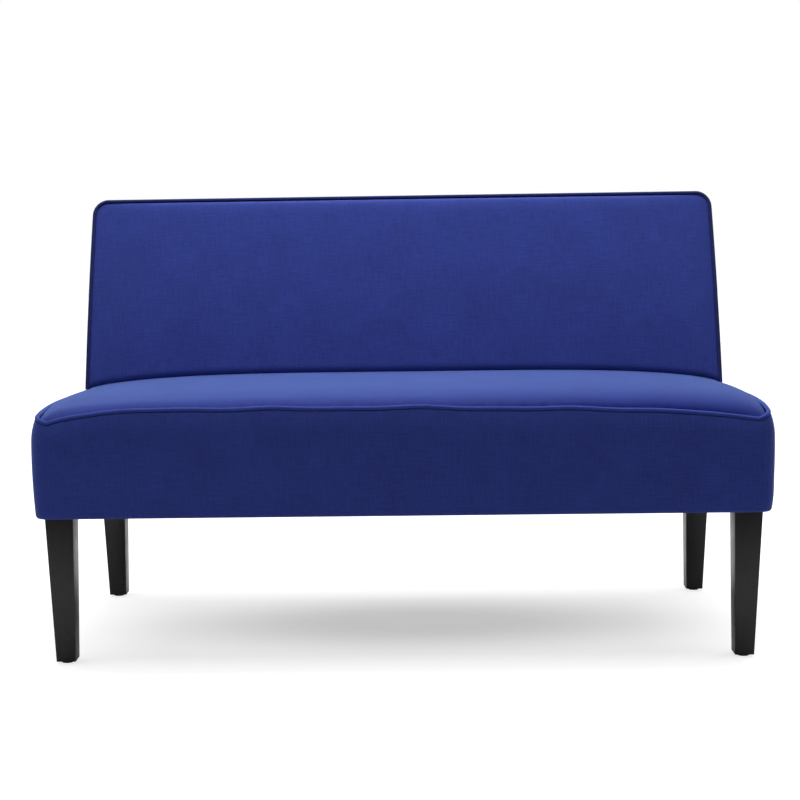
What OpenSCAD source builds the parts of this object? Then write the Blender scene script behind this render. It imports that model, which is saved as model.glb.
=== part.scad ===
// Armless loveseat: a wooden frame on four tapered legs, a sprung and padded seat,
// a raked and padded back, and a piped fabric cover. Millimetres, +Z up, front towards -Y.
// The origin lies on the floor, under the middle of the overall box.

/* [Overall] */
// Width across the widest swell of the seat border
overall_w = 1302; // [1200:1:1500]
// Height from the floor to the top of the back piping
overall_h = 822; // [790:1:880]

/* [Legs] */
// Height of a leg, from its glide to the underside of the frame
leg_h = 258; // [150:1:300]
// Width of a leg at its top, seen from the front
leg_top_w = 49.5; // [49:0.5:56]
// Width of a leg at its foot, seen from the front
leg_foot_w = 33.5; // [30:0.5:42]
// Depth of a leg at its top, seen from the side
leg_top_d = 52; // [48:0.5:58]
// Depth of a leg at its foot, seen from the side
leg_foot_d = 38.5; // [34:0.5:46]
// Gap from the side swell of the seat to the outer face of a leg
leg_side_inset = 21; // [20:0.5:26]
// Gap from the front swell of the seat to the front face of a front leg
leg_front_inset = 35; // [30:0.5:44]
// Gap from the outside back to the rear face of a rear leg
leg_rear_inset = 12; // [11.5:0.5:20]
// Distance of the bolt axis from the inner face of a leg
bolt_from_inner = 17; // [15:0.5:18]
// Distance of the bolt axis from the rear face of a leg
bolt_from_rear = 21; // [20.5:0.5:24]
// Diameter of a foot glide
glide_d = 22; // [16:0.5:26]
// Thickness of a foot glide
glide_t = 4; // [3:0.5:7]
// Length of the nail of a foot glide
glide_nail = 15; // [10:1:25]
// Diameter of the nail of a foot glide
glide_nail_d = 2.5; // [2:0.1:4]

/* [Seat] */
// Height of the seat border, from the underside of the frame to the piping at the back
border_h = 173.5; // [165:0.5:200]
// How far the middle of the front piping stands above its level at the back
front_rise = 14; // [5:0.5:25]
// How far the side piping climbs above its level at the back
side_rise = 8.5; // [0:0.5:15]
// How far the piping dips at the front corners below its level at the back
corner_dip = 8; // [0:0.5:12]
// How far the middle of the seat stands above the middle of the front piping
seat_crown = 22; // [8:0.5:30]
// Distance from the front to the highest line of the seat
seat_peak = 330; // [260:5:400]
// How far the seat falls from its highest line to the back
seat_fall = 5; // [0:0.5:8]
// Distance from the seat front to the plane of the back piping, at the seat
seat_depth = 526; // [500:1:535]
// Radius of the front corners of the seat, seen from above
corner_r = 32; // [28:0.5:45]
// How far the border draws in from its swell to the piping
border_top_draw = 8; // [3:0.5:11]
// How far the border draws in from its swell to its lower edge
border_low_draw = 7; // [2:0.5:11]
// Height of the border's widest line, as a share of the border
swell_level = 0.76; // [0.5:0.01:0.85]

/* [Back] */
// How far each side border of the back stands in from the swell of the seat
back_inset = 8.5; // [6:0.5:12]
// How far each side border of the back draws in towards the top
back_taper = 6.5; // [0:0.5:10]
// Slope of the front of the back from upright
back_rake = 12.4; // [8:0.1:14]
// How far the outside back leans out from its lower edge to its top
rear_lean = 26; // [10:1:32]
// Thickness of the back at its top, measured level from its piping to the outside back
back_t = 89.3; // [80:0.1:110]
// Thickness of the padding in front of the back frame, measured level
back_pad = 50; // [35:1:60]
// How far the padded front of the back bows out between its edges
back_puff = 13; // [4:0.5:22]
// Radius of the top corners of the back
back_corner_r = 24; // [16:0.5:28]

/* [Cover] */
// Thickness of the cover fabric
cover_t = 1.5; // [1:0.1:2]
// Diameter of the piping
welt_d = 7.5; // [5:0.5:10]
// How far the piping stands out past the border beside it
welt_show = 1.25; // [0.5:0.25:2.5]
// Thickness of the burlap
burlap_t = 1.5; // [1:0.1:3]
// Thickness of the dust cover
dust_t = 0.8; // [0.5:0.1:1.2]
// Thickness of the tack strips
tack_t = 1.5; // [1:0.1:2.5]
// Width of the tack strips
tack_w = 12; // [8:0.5:18]

/* [Frame] */
// Thickness of the rails, stretchers and uprights
rail_t = 20; // [18:0.5:21]
// Height of the front and rear rails
rail_h = 122; // [105:1:128]
// Distance from the seat's swell to the outer faces of the rails
frame_inset = 23; // [20:0.5:24]
// Height of the stretchers
stretcher_h = 80; // [50:1:100]
// Depth of the foot of an upright
upright_foot_d = 51; // [40:1:60]
// Height of the top rail of the back
top_rail_h = 45; // [35:1:60]
// Gap between the top of the back frame and the top border
top_gap = 15; // [12:0.5:24]
// Thickness of the lower rail of the back, measured level
lower_rail_t = 16; // [12:0.5:20]
// Height of the lower rail of the back
lower_rail_h = 50; // [40:1:60]
// Length of a corner block along a rail
block_l = 80; // [72:1:95]
// Width of the square ends of a corner block
block_end = 18; // [14:0.5:24]
// Height of a corner block
block_h = 35; // [28:1:45]

/* [Springs] */
// Number of seat springs
spring_count = 9; // [7:1:9]
// Width of a spring across its turns
spring_w = 50; // [40:1:54]
// Diameter of the spring wire
spring_wire = 3.8; // [3:0.1:4.5]
// Number of turns in each sloping end of a spring, from its clip to its level middle
slope_turns = 7; // [6:1:8]
// Distance from the end spring's axis to the side rail
spring_edge = 94; // [80:1:110]
// Diameter of a tie wire
tie_wire = 2.4; // [1.5:0.1:3]
// Width of a spring clip
clip_w = 14; // [10:0.5:18]
// Thickness of the sheet of a spring clip
clip_t = 1.5; // [1:0.1:1.8]
// Number of webbing straps in the back
strap_count = 9; // [5:1:11]
// Width of a webbing strap
strap_w = 50; // [40:1:70]
// Thickness of a webbing strap
strap_t = 2; // [1.5:0.1:3]

/* [Fasteners] */
// Diameter of a leg bolt
leg_bolt_d = 8; // [6:0.5:8.5]
// Depth of a leg bolt in its leg
leg_bolt_depth = 40; // [30:1:60]
// Diameter of the flange of a tee nut
tee_flange_d = 18; // [16:0.5:19]
// Diameter of the barrel of a tee nut
tee_barrel_d = 10; // [9.5:0.1:12]
// Length of the barrel of a tee nut
tee_barrel_h = 12; // [8:0.5:16]
// Diameter of a frame screw
screw_d = 4.5; // [3.5:0.1:5.5]
// Length of a frame screw
screw_l = 50; // [35:1:60]
// Length of a corner block screw
block_screw_l = 38; // [30:1:42]

/* [Hidden] */
$fn = 48;
SPRINGS = [for (n = [1:spring_count]) str("seat_spring_", n)];

// Colours of the pieces
FABRIC = [0.14, 0.19, 0.47];
PIPING = [0.12, 0.16, 0.40];
BLACK_WOOD = [0.10, 0.10, 0.10];
RAW_WOOD = [0.78, 0.62, 0.42];
FOAM = [0.93, 0.89, 0.74];
WADDING = [0.93, 0.93, 0.91];
BURLAP = [0.66, 0.55, 0.38];
WEBBING = [0.55, 0.53, 0.48];
STEEL = [0.62, 0.63, 0.65];
CARD = [0.70, 0.60, 0.45];
BLACK = [0.07, 0.07, 0.07];

// Small clearances between soft pieces, and the bevel of eased edges
soft_gap = 0.2;
rest_gap = 0.5;
thread_gap = 0.2;
bevel = 1;

// Levels
base_z = glide_t + leg_h;
rail_top = base_z + rail_h;
rim_z = base_z + border_h;
welt_r = welt_d / 2;
back_top_z = overall_h - welt_show;
frame_top_z = back_top_z - top_gap;

// Plan of the frame; distances from the front of the seat are turned into Y by front_y
half_w = overall_w / 2;
rake_run = (back_top_z - rim_z) * tan(back_rake);
overall_d = seat_depth + rake_run + back_t;
front_y = -overall_d / 2;
frame_half = half_w - frame_inset;
rail_inner = frame_half - rail_t;
front_rail_y = front_y + frame_inset;
front_rail_back = front_rail_y + rail_t;
base_rear_y = front_y + overall_d - rear_lean;
rear_rail_back = base_rear_y - cover_t - tack_t;
rear_rail_y = rear_rail_back - rail_t;
upright_y = rear_rail_y - upright_foot_d;

// Rounded front corners of the wooden frame, inside the padding
least_r = 2;
frame_corner_r = max(least_r, corner_r - frame_inset);

// Legs and their bolts
leg_outer = half_w - leg_side_inset;
leg_inner = leg_outer - leg_top_w;
leg_rear_faces = [front_y + leg_front_inset + leg_top_d, base_rear_y - leg_rear_inset];
bolt_x = leg_inner + bolt_from_inner;

// Back planes: the piping lies in the face plane and the webbing on the frame plane
back_half = half_w - back_inset;
webbing_y = strap_t + burlap_t;
function face_y(z) = front_y + seat_depth + (z - rim_z) * tan(back_rake);
function frame_y(z) = face_y(z) + back_pad;
function rear_y(z) = base_rear_y + rear_lean * (z - base_z) / (back_top_z - base_z);
function side_x(z) = back_half - back_taper * pow(max(0, z - rim_z) / (back_top_z - rim_z), 2);

// Springs: cross bars at one pitch, rising from each clip at a slope of 237 in 3116 to a
// level middle, with as many turns as bring the end bars nearest to their seats on the rails
bar_pitch = 25;
bar_seat = 8;
slope_angle = atan(237 / 3116);
wire_gap = 0.1;
wire_r = spring_wire / 2;
clip_in_r = wire_r + wire_gap;
clip_bar_z = rail_top + clip_in_r + clip_t;
deck_z = clip_bar_z + clip_in_r + clip_t + soft_gap;
turn_r = bar_pitch / 2;
bar_half = (spring_w - spring_wire) / 2 - turn_r;
bar_run = bar_pitch * cos(slope_angle);
bar_rise = bar_pitch * sin(slope_angle);
seat_to_seat = rear_rail_y - front_rail_back + 2 * bar_seat;
level_turns = round((seat_to_seat - 2 * slope_turns * bar_run) / bar_pitch);
total_turns = 2 * slope_turns + level_turns;
spring_half = slope_turns * bar_run + level_turns * bar_pitch / 2;
spring_mid_y = (front_rail_back + rear_rail_y) / 2;
spring_y0 = spring_mid_y - spring_half;
spring_y1 = spring_mid_y + spring_half;
spring_pitch = 2 * (rail_inner - spring_edge) / (spring_count - 1);
inner_upright_x = spring_pitch * (spring_count - 2 * floor(spring_count / 3)) / 2;
function sloping(n) = min(n, slope_turns) + max(0, n - total_turns + slope_turns);
function bar_y(n) = sloping(n) * bar_run + (n - sloping(n)) * bar_pitch;
function bar_z(n) = (min(n, slope_turns) - max(0, n - total_turns + slope_turns)) * bar_rise;
function spring_rise(y) = min(slope_turns * bar_rise,
    max(0, spring_half - abs(y - spring_mid_y)) * tan(slope_angle));

// The burlap rides on the springs and comes down to the side rails
deck_ramp = 30;
deck_gap = 2;
function side_ease(x) = min(1, max(0, (rail_inner - abs(x)) / deck_ramp));
function deck_lift(x, y) = side_ease(x)
    * max(0, clip_bar_z + wire_r + spring_rise(y) + deck_gap - deck_z);

// Grids of the padded shapes: columns across the width, rows from the rounded edge
cols = 16;
corner_steps = 4;
seat_rows = 11;
border_rows = seat_rows + 2;
back_rows = 11;
welt_sides = 8;

// Share of the half width at a column, closer together towards the ends
function col_u(i) = sin(90 * (2 * i / cols - 1));

// A row of a grid with two rounded corners, with o as an offset outwards:
// the change of its half width, and its distance from the edge between the corners
function grid_row(j, r, step, o) = j <= corner_steps
    ? [(r + o) * sin(90 * j / corner_steps) - r, r - (r + o) * cos(90 * j / corner_steps)]
    : [o, r + step * (j - corner_steps)];

// Seat outline, drawn at the swell of the border
seat_len = frame_y(rim_z) - webbing_y - front_y;
seat_step = (seat_len - corner_r) / (seat_rows - corner_steps);
welt_o = welt_show - welt_r - border_top_draw;
panel_o = welt_o - welt_r - soft_gap;
foam_o = panel_o - cover_t;
function plan(i, j, o) = let (row = grid_row(j, corner_r, seat_step, o))
    [(half_w + row[0]) * col_u(i), front_y + row[1]];

// Crown of the seat: across the width, then from front to back
crown_flat = 3.4;
crown_round = 0.55;
crown_front = 4;
panel_lift = 1.5;
function crown(u) = pow(max(0, 1 - pow(min(1, abs(u)), crown_flat)), crown_round);
function seat_swell(t) = t < seat_peak
    ? seat_crown * sqrt(1 - pow(1 - max(0, t) / seat_peak, crown_front))
    : seat_crown - seat_fall * pow((t - seat_peak) / (seat_depth - seat_peak), 2);

// Line of the piping, against its level at the back: it dips at the front corners and stands
// higher along the front, at a share u of the half width, and along the sides, at t from the front
bow_flat = 4;
climb_skew = 0.65;
dip_fade = 6;
climb_end = seat_depth - 60;
function bow(u) = 1 - pow(min(1, abs(u)), bow_flat);
function climb(t) = let (w = pow(min(1, max(0, t) / climb_end), climb_skew))
    side_rise * sin(180 * w) - corner_dip * pow(1 - w, dip_fade);
function edge_rise(u, t) = front_rise * bow(u) + climb(t) * (1 - bow(u));
function rim(i, j) = rim_z + edge_rise(j == 0 ? col_u(i) : 1,
    grid_row(j, corner_r, seat_step, 0)[1]);
function seat_z(u, y) = let (t = y - front_y + panel_o)
    rim_z + panel_lift + edge_rise(u, t) + crown(u) * seat_swell(t);
function seat_z_at_x(x, y) = seat_z(x / (half_w + panel_o), y);

// Side profile of the border: offset from the swell, at a share f of its height
function border_o(f) = f < swell_level
    ? -border_low_draw * pow((swell_level - f) / swell_level, 2)
    : -border_top_draw * pow((f - swell_level) / (1 - swell_level), 2);
border_curl = 7;
curl_in = 5;
curl_o = -border_low_draw - curl_in;
function border_share(z, top) = min(1, (z - base_z) / (top - base_z));
function pad_o(z, top) = border_o(border_share(z, top)) - cover_t - soft_gap;

// Stations along the seat's edge: up the left side, along the front, down the right side
function station(b, rows) = b <= rows ? [0, rows - b]
    : b <= rows + cols ? [b - rows, 0] : [cols, b - rows - cols];
function station_count(rows) = 2 * rows + cols;

// Outline of the back, rows from the top; z_end is the level of the last row
function back_row(j, z_end, o) = grid_row(j, back_corner_r,
    (back_top_z - back_corner_r - z_end) / (back_rows - corner_steps), o);
function outline(i, j, z_end, o) = let (row = back_row(j, z_end, o), z = back_top_z - row[1])
    [(side_x(z) + row[0]) * col_u(i), z];
back_welt_o = welt_show - welt_r;
back_panel_o = back_welt_o - welt_r - soft_gap;
boxing_end_z = rim_z - welt_r;
welt_end_z = rim_z + welt_r + rest_gap;

// Bow of the padded face of the back, full at the seat and none at the piping
puff_side = 3;
puff_top = 6;
puff_round = 0.6;
function puff(i, j) = back_puff * pow(max(0, 1 - pow(abs(col_u(i)), puff_side)), puff_round)
    * pow(max(0, 1 - pow(1 - j / back_rows, puff_top)), puff_round);
function seat_line(i) = seat_z_at_x((back_half + back_panel_o) * col_u(i),
    face_y(rim_z) - back_puff) + rest_gap;

// Helpers: a profile in Y and Z run from x0 to x1, and a box from corner to corner
module run_x(x0, x1, points) {
    translate([x0, 0, 0]) rotate([90, 0, 90]) linear_extrude(x1 - x0) polygon(points);
}
module box(a, b) {
    translate(a) cube(b - a);
}
module on_side(side) {
    if (side < 0) mirror([1, 0, 0]) children();
    else children();
}

// A closed solid between two grids, k = 0 below and k = rows above, with walled edges
module grid_solid(nu, nv, rows, at) {
    plane = (nu + 1) * (nv + 1);
    loop = 2 * (nu + nv);
    function edge(b) = b < nu ? [b, 0] : b < nu + nv ? [nu, b - nu]
        : b < 2 * nu + nv ? [2 * nu + nv - b, nv] : [0, loop - b];
    function id(i, j) = j * (nu + 1) + i;
    function wall(b, k) = let (e = edge(b % loop))
        k == 0 ? id(e[0], e[1]) : k == rows ? plane + id(e[0], e[1])
        : 2 * plane + (k - 1) * loop + b % loop;
    points = concat(
        [for (j = [0:nv], i = [0:nu]) at(i, j, 0)],
        [for (j = [0:nv], i = [0:nu]) at(i, j, rows)],
        [for (k = [1:1:rows - 1], b = [0:loop - 1]) let (e = edge(b)) at(e[0], e[1], k)]);
    faces = concat(
        [for (j = [0:nv - 1], i = [0:nu - 1], half = [0, 1]) half == 0
            ? [id(i, j), id(i + 1, j), id(i + 1, j + 1)]
            : [id(i, j), id(i + 1, j + 1), id(i, j + 1)]],
        [for (j = [0:nv - 1], i = [0:nu - 1], half = [0, 1]) half == 0
            ? [plane + id(i, j), plane + id(i + 1, j + 1), plane + id(i + 1, j)]
            : [plane + id(i, j), plane + id(i, j + 1), plane + id(i + 1, j + 1)]],
        [for (k = [0:rows - 1], b = [0:loop - 1], half = [0, 1]) half == 0
            ? [wall(b, k), wall(b + 1, k + 1), wall(b + 1, k)]
            : [wall(b, k), wall(b, k + 1), wall(b + 1, k + 1)]]);
    polyhedron(points, faces);
}

// A closed solid swept over stations 0 to last, with a ring of an even number of points
module swept_solid(last, ring, at) {
    function id(b, k) = b * ring + k % ring;
    points = [for (b = [0:last], k = [0:ring - 1]) at(b, k)];
    half_ring = ring / 2;
    faces = concat(
        [for (b = [0:last - 1], k = [0:ring - 1], half = [0, 1]) half == 0
            ? [id(b, k), id(b + 1, k + 1), id(b, k + 1)]
            : [id(b, k), id(b + 1, k), id(b + 1, k + 1)]],
        [for (k = [0:half_ring - 2], half = [0, 1]) half == 0
            ? [id(0, k), id(0, k + 1), id(0, ring - 2 - k)]
            : [id(0, k), id(0, ring - 2 - k), id(0, ring - 1 - k)]],
        [for (k = [0:half_ring - 2], half = [0, 1]) half == 0
            ? [id(last, k), id(last, ring - 2 - k), id(last, k + 1)]
            : [id(last, k), id(last, ring - 1 - k), id(last, ring - 2 - k)]]);
    polyhedron(points, faces);
}

// Wood screw with a countersunk head at the origin, pointing down
screw_head_d = 2 * screw_d;
screw_head_h = 0.7 * screw_d;
screw_point_d = 0.6;
module wood_screw(length, pocket = 0) {
    tip = screw_d;
    head = screw_head_d / 2;
    rotate_extrude() polygon(concat([[0, -length], [screw_point_d / 2, -length],
        [screw_d / 2, tip - length], [screw_d / 2, -screw_head_h], [head, 0]],
        pocket > 0 ? [[head, pocket], [0, pocket]] : [[0, 0]]));
}

// Screws of the frame, by joint; their countersinks run out of the face they are set in
member_xs = [-frame_half + rail_t / 2, -inner_upright_x, inner_upright_x,
    frame_half - rail_t / 2];
front_screw_x = max(rail_inner + screw_d,
    min(frame_half - rail_t / 2, frame_half - frame_corner_r - screw_head_d / 2));
front_screw_in = max(0, front_screw_x + screw_head_d / 2 - frame_half + frame_corner_r);
front_screw_sink = frame_corner_r - sqrt(pow(frame_corner_r, 2) - pow(front_screw_in, 2));
screw_low = 0.3;
screw_high = 0.75;
countersink_over = 1;
lower_rail_lift = 12;
screw_low_z = base_z + stretcher_h * screw_low;
screw_high_z = base_z + stretcher_h * screw_high;
lower_rail_z0 = rim_z + lower_rail_lift;
lower_rail_z1 = lower_rail_z0 + lower_rail_h;
lower_screw_z = lower_rail_z0 + lower_rail_h * screw_low;
module front_screws(pocket = 0) {
    for (x = [-front_screw_x, -inner_upright_x, inner_upright_x, front_screw_x],
         z = [screw_low_z, screw_high_z]) translate([x, front_rail_y + front_screw_sink, z])
        rotate([90, 0, 0]) wood_screw(screw_l, pocket);
}
module rear_screws(pocket = 0) {
    for (x = member_xs, z = [screw_low_z, screw_high_z]) translate([x, rear_rail_back, z])
        rotate([-90, 0, 0]) wood_screw(screw_l, pocket);
}
module lower_rail_screws(pocket = 0) {
    for (x = member_xs) translate([x, frame_y(lower_screw_z) + bevel, lower_screw_z])
        rotate([90, 0, 0]) wood_screw(screw_l, pocket);
}
top_screw_y = (frame_y(frame_top_z) + rear_y(frame_top_z)) / 2;
top_screw_z = frame_top_z - top_rail_h / 2;
module top_rail_screws(pocket = 0) {
    for (side = [-1, 1]) {
        on_side(side) translate([frame_half, top_screw_y, top_screw_z])
            rotate([0, 90, 0]) wood_screw(screw_l, pocket);
        translate([side * inner_upright_x, top_screw_y, frame_top_z])
            wood_screw(screw_l + top_rail_h / 2, pocket);
    }
}

// Screws of a corner block: one into each rail, set in a flat-bottomed pocket
block_screw_at = block_l - block_end / 2 - screw_head_d / 2;
block_head = block_end + screw_head_d / 2;
module block_screw_pair(pocket = 0) {
    for (turn = [0, 1]) mirror([turn, -turn, 0])
        translate([block_screw_at, block_head, block_h / 2]) rotate([-90, 0, 0])
            wood_screw(block_screw_l, pocket);
}
block_corners = [front_rail_back, rear_rail_y];
module at_block(side, rear) {
    on_side(side) translate([rail_inner, block_corners[rear], base_z])
        mirror([1, 0, 0]) mirror([0, rear, 0]) children();
}

module wooden_front_rail() {
    translate([0, front_rail_y, base_z]) linear_extrude(rail_h) intersection() {
        translate([-frame_half, 0]) square([2 * frame_half, rail_t]);
        union() {
            translate([-frame_half, frame_corner_r]) square([2 * frame_half, rail_t]);
            translate([frame_corner_r - frame_half, 0])
                square([2 * (frame_half - frame_corner_r), rail_t]);
            for (side = [-1, 1]) translate([side * (frame_half - frame_corner_r), frame_corner_r])
                circle(frame_corner_r);
        }
    }
}
module front_rail() {
    color(RAW_WOOD) difference() {
        wooden_front_rail();
        front_screws(front_screw_sink + countersink_over);
        for (side = [-1, 1]) at_block(side, 0) block_screw_pair();
    }
}
module rear_rail() {
    color(RAW_WOOD) difference() {
        box([-frame_half, rear_rail_y, base_z], [frame_half, rear_rail_back, rail_top]);
        rear_screws(countersink_over);
        for (side = [-1, 1]) at_block(side, 1) block_screw_pair();
    }
}

// The side rails stand as high as the deck and end at the uprights
module side_rail(side) {
    color(RAW_WOOD) difference() {
        on_side(side) box([rail_inner, front_rail_back, base_z], [frame_half, upright_y, deck_z]);
        front_screws();
        at_block(side, 0) block_screw_pair();
        at_block(side, 1) block_screw_pair();
    }
}
module stretcher(side) {
    color(RAW_WOOD) difference() {
        on_side(side) box([inner_upright_x - rail_t / 2, front_rail_back, base_z],
            [inner_upright_x + rail_t / 2, upright_y, base_z + stretcher_h]);
        front_screws();
    }
}
module corner_block(side, rear) {
    color(RAW_WOOD) difference() {
        at_block(side, rear) linear_extrude(block_h) polygon([[0, 0], [block_l, 0],
            [block_l, block_end], [block_end, block_l], [0, block_l]]);
        at_block(side, rear) block_screw_pair(block_l);
        at_leg_bolt(side, rear) {
            cylinder(h = block_h, d = leg_bolt_d + 2 * thread_gap);
            translate([0, 0, block_h - tee_barrel_h]) cylinder(h = tee_barrel_h, d = tee_barrel_d);
        }
    }
}

// Uprights: the foot stands before the rear rail, a shoulder rests on it, and above the
// deck the front edge lies on the frame plane of the back, notched for the lower rail
function post_rear_y(z) = rear_y(z) - cover_t - tack_t;
module upright_shape(x0, x1, top_z) {
    run_x(x0, x1, [[upright_y, base_z], [rear_rail_y, base_z], [rear_rail_y, rail_top],
        [post_rear_y(rail_top), rail_top], [post_rear_y(top_z), top_z],
        [frame_y(top_z), top_z], [frame_y(lower_rail_z0), lower_rail_z0],
        [upright_y, lower_rail_z0]]);
}
module end_upright(side) {
    color(RAW_WOOD) difference() {
        on_side(side) upright_shape(frame_half - rail_t, frame_half, frame_top_z);
        lower_rail_shape();
        rear_screws();
        lower_rail_screws();
        top_rail_screws(countersink_over);
        at_block(side, 1) block_screw_pair();
    }
}
module inner_upright(side) {
    color(RAW_WOOD) difference() {
        on_side(side) upright_shape(inner_upright_x - rail_t / 2, inner_upright_x + rail_t / 2,
            frame_top_z - top_rail_h);
        lower_rail_shape();
        rear_screws();
        lower_rail_screws();
        top_rail_screws();
    }
}
module back_top_rail() {
    z0 = frame_top_z - top_rail_h;
    x1 = frame_half - rail_t;
    color(RAW_WOOD) difference() {
        run_x(-x1, x1, [[frame_y(z0), z0], [post_rear_y(z0), z0],
            [post_rear_y(frame_top_z), frame_top_z], [frame_y(frame_top_z), frame_top_z]]);
        top_rail_screws(countersink_over);
    }
}
module lower_rail_shape() {
    z0 = lower_rail_z0;
    z1 = lower_rail_z1;
    run_x(-frame_half, frame_half, [[frame_y(z0), z0], [frame_y(z0) + lower_rail_t, z0],
        [frame_y(z1) + lower_rail_t, z1], [frame_y(z1), z1]]);
}
module back_lower_rail() {
    color(RAW_WOOD) difference() {
        lower_rail_shape();
        lower_rail_screws(lower_rail_t / 2);
    }
}

// Legs: straight on the inner and rear faces, tapered on the outer and front faces
module leg(side, rear) {
    y1 = leg_rear_faces[rear];
    color(BLACK_WOOD) difference() {
        on_side(side) intersection() {
            translate([0, y1, 0]) rotate([90, 0, 0]) linear_extrude(leg_top_d)
                polygon([[leg_inner, glide_t], [leg_inner + leg_foot_w, glide_t],
                    [leg_outer, base_z], [leg_inner, base_z]]);
            run_x(leg_inner, leg_outer, [[y1 - leg_foot_d, glide_t], [y1, glide_t],
                [y1, base_z], [y1 - leg_top_d, base_z]]);
        }
        at_leg_bolt(side, rear) translate([0, 0, -leg_bolt_depth])
            cylinder(h = leg_bolt_depth, d = leg_bolt_d);
        glide_shape(side, rear);
    }
}
module at_leg_bolt(side, rear) {
    translate([side * bolt_x, leg_rear_faces[rear] - bolt_from_rear, base_z]) children();
}
module glide_shape(side, rear) {
    translate([side * bolt_x, leg_rear_faces[rear] - bolt_from_rear, 0]) {
        cylinder(h = bevel, d1 = glide_d - 2 * bevel, d2 = glide_d);
        translate([0, 0, bevel]) cylinder(h = glide_t - bevel, d = glide_d);
        translate([0, 0, glide_t]) cylinder(h = glide_nail, d = glide_nail_d);
    }
}
module glide(side, rear) {
    color(BLACK) glide_shape(side, rear);
}

// Fasteners
tee_flange_t = 1.5;
bolt_tail = 5;
module leg_bolts() {
    color(STEEL) for (side = [-1, 1], rear = [0, 1]) at_leg_bolt(side, rear)
        translate([0, 0, -leg_bolt_depth])
            cylinder(h = leg_bolt_depth + block_h + tee_flange_t + bolt_tail, d = leg_bolt_d);
}
module leg_tee_nuts() {
    color(STEEL) for (side = [-1, 1], rear = [0, 1]) at_leg_bolt(side, rear) difference() {
        union() {
            translate([0, 0, block_h]) cylinder(h = tee_flange_t, d = tee_flange_d);
            translate([0, 0, block_h - tee_barrel_h]) cylinder(h = tee_barrel_h, d = tee_barrel_d);
        }
        translate([0, 0, block_h - tee_barrel_h - bevel])
            cylinder(h = tee_barrel_h + tee_flange_t + 2 * bevel, d = leg_bolt_d + thread_gap);
    }
}
module frame_screws() {
    color(STEEL) {
        front_screws();
        rear_screws();
        lower_rail_screws();
        top_rail_screws();
    }
}
module block_screws() {
    color(STEEL) for (side = [-1, 1], rear = [0, 1])
        at_block(side, rear) block_screw_pair();
}

// One zigzag spring: cross bars joined by half turns on alternate sides
module seat_spring(n) {
    x = (n - (spring_count + 1) / 2) * spring_pitch;
    color(STEEL) translate([x, spring_y0, clip_bar_z]) {
        for (b = [0:total_turns]) translate([-bar_half, bar_y(b), bar_z(b)])
            rotate([0, 90, 0]) cylinder(h = 2 * bar_half, r = wire_r);
        for (b = [0:total_turns - 1]) {
            side = b % 2 == 0 ? 1 : -1;
            a = sign(bar_z(b + 1) - bar_z(b)) * slope_angle;
            translate([side * bar_half, (bar_y(b) + bar_y(b + 1)) / 2,
                (bar_z(b) + bar_z(b + 1)) / 2]) rotate([a, 0, 0]) rotate([0, 0, -90 * side])
                rotate_extrude(angle = 180) translate([turn_r, 0]) circle(wire_r);
        }
    }
}
module spring_clips() {
    loop_r = clip_in_r + clip_t;
    color(STEEL) for (n = [1:spring_count], rear = [0, 1]) {
        x = (n - (spring_count + 1) / 2) * spring_pitch;
        y = [spring_y0, spring_y1][rear];
        plate = rail_t - bevel - (front_rail_back - spring_y0);
        translate([x - clip_w / 2, y, rail_top]) mirror([0, rear, 0]) rotate([90, 0, 90])
            linear_extrude(clip_w) difference() {
                union() {
                    translate([0, clip_bar_z - rail_top]) circle(loop_r);
                    translate([-plate, 0]) square([plate, clip_t]);
                }
                translate([0, clip_bar_z - rail_top]) circle(clip_in_r);
            }
    }
}
module spring_tie_wires() {
    reach = (spring_count - 1) / 2 * spring_pitch + spring_w / 2 + bar_half;
    drop = wire_r + wire_gap + tie_wire / 2;
    color(STEEL) for (b = [slope_turns, total_turns - slope_turns])
        translate([-reach, spring_y0 + bar_y(b), clip_bar_z + bar_z(b) - drop])
            rotate([0, 90, 0]) cylinder(h = 2 * reach, d = tie_wire);
}

// Seat padding: burlap over the springs, and a crowned foam that fills the border
burlap_o = pad_o(deck_z, rim_z) - soft_gap;
function deck_point(i, j, up) = let (p = plan(i, j, burlap_o))
    [p[0], p[1], deck_z + deck_lift(p[0], p[1]) + up];
module seat_burlap() {
    color(BURLAP) grid_solid(cols, seat_rows, 1,
        function (i, j, k) deck_point(i, j, k * burlap_t));
}
foam_walls = [0, 0.45, 0.76, 1];
foam_gap = 1.2;
function foam_top(i, j) = let (p = plan(i, j, panel_o), q = plan(i, j, foam_o))
    [q[0], q[1], seat_z(col_u(i), p[1]) - cover_t];
function foam_wall(i, j, f) = let (top = foam_top(i, j)[2], low = deck_point(i, j, burlap_t)[2],
    z = low + (top - low) * f, p = plan(i, j, pad_o(z, rim(i, j)) - foam_gap))
    [p[0], p[1], z];
module seat_foam() {
    color(FOAM) grid_solid(cols, seat_rows, 3,
        function (i, j, k) k == 0 ? deck_point(i, j, burlap_t)
            : k == 3 ? foam_top(i, j) : foam_wall(i, j, foam_walls[k]));
}

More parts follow.
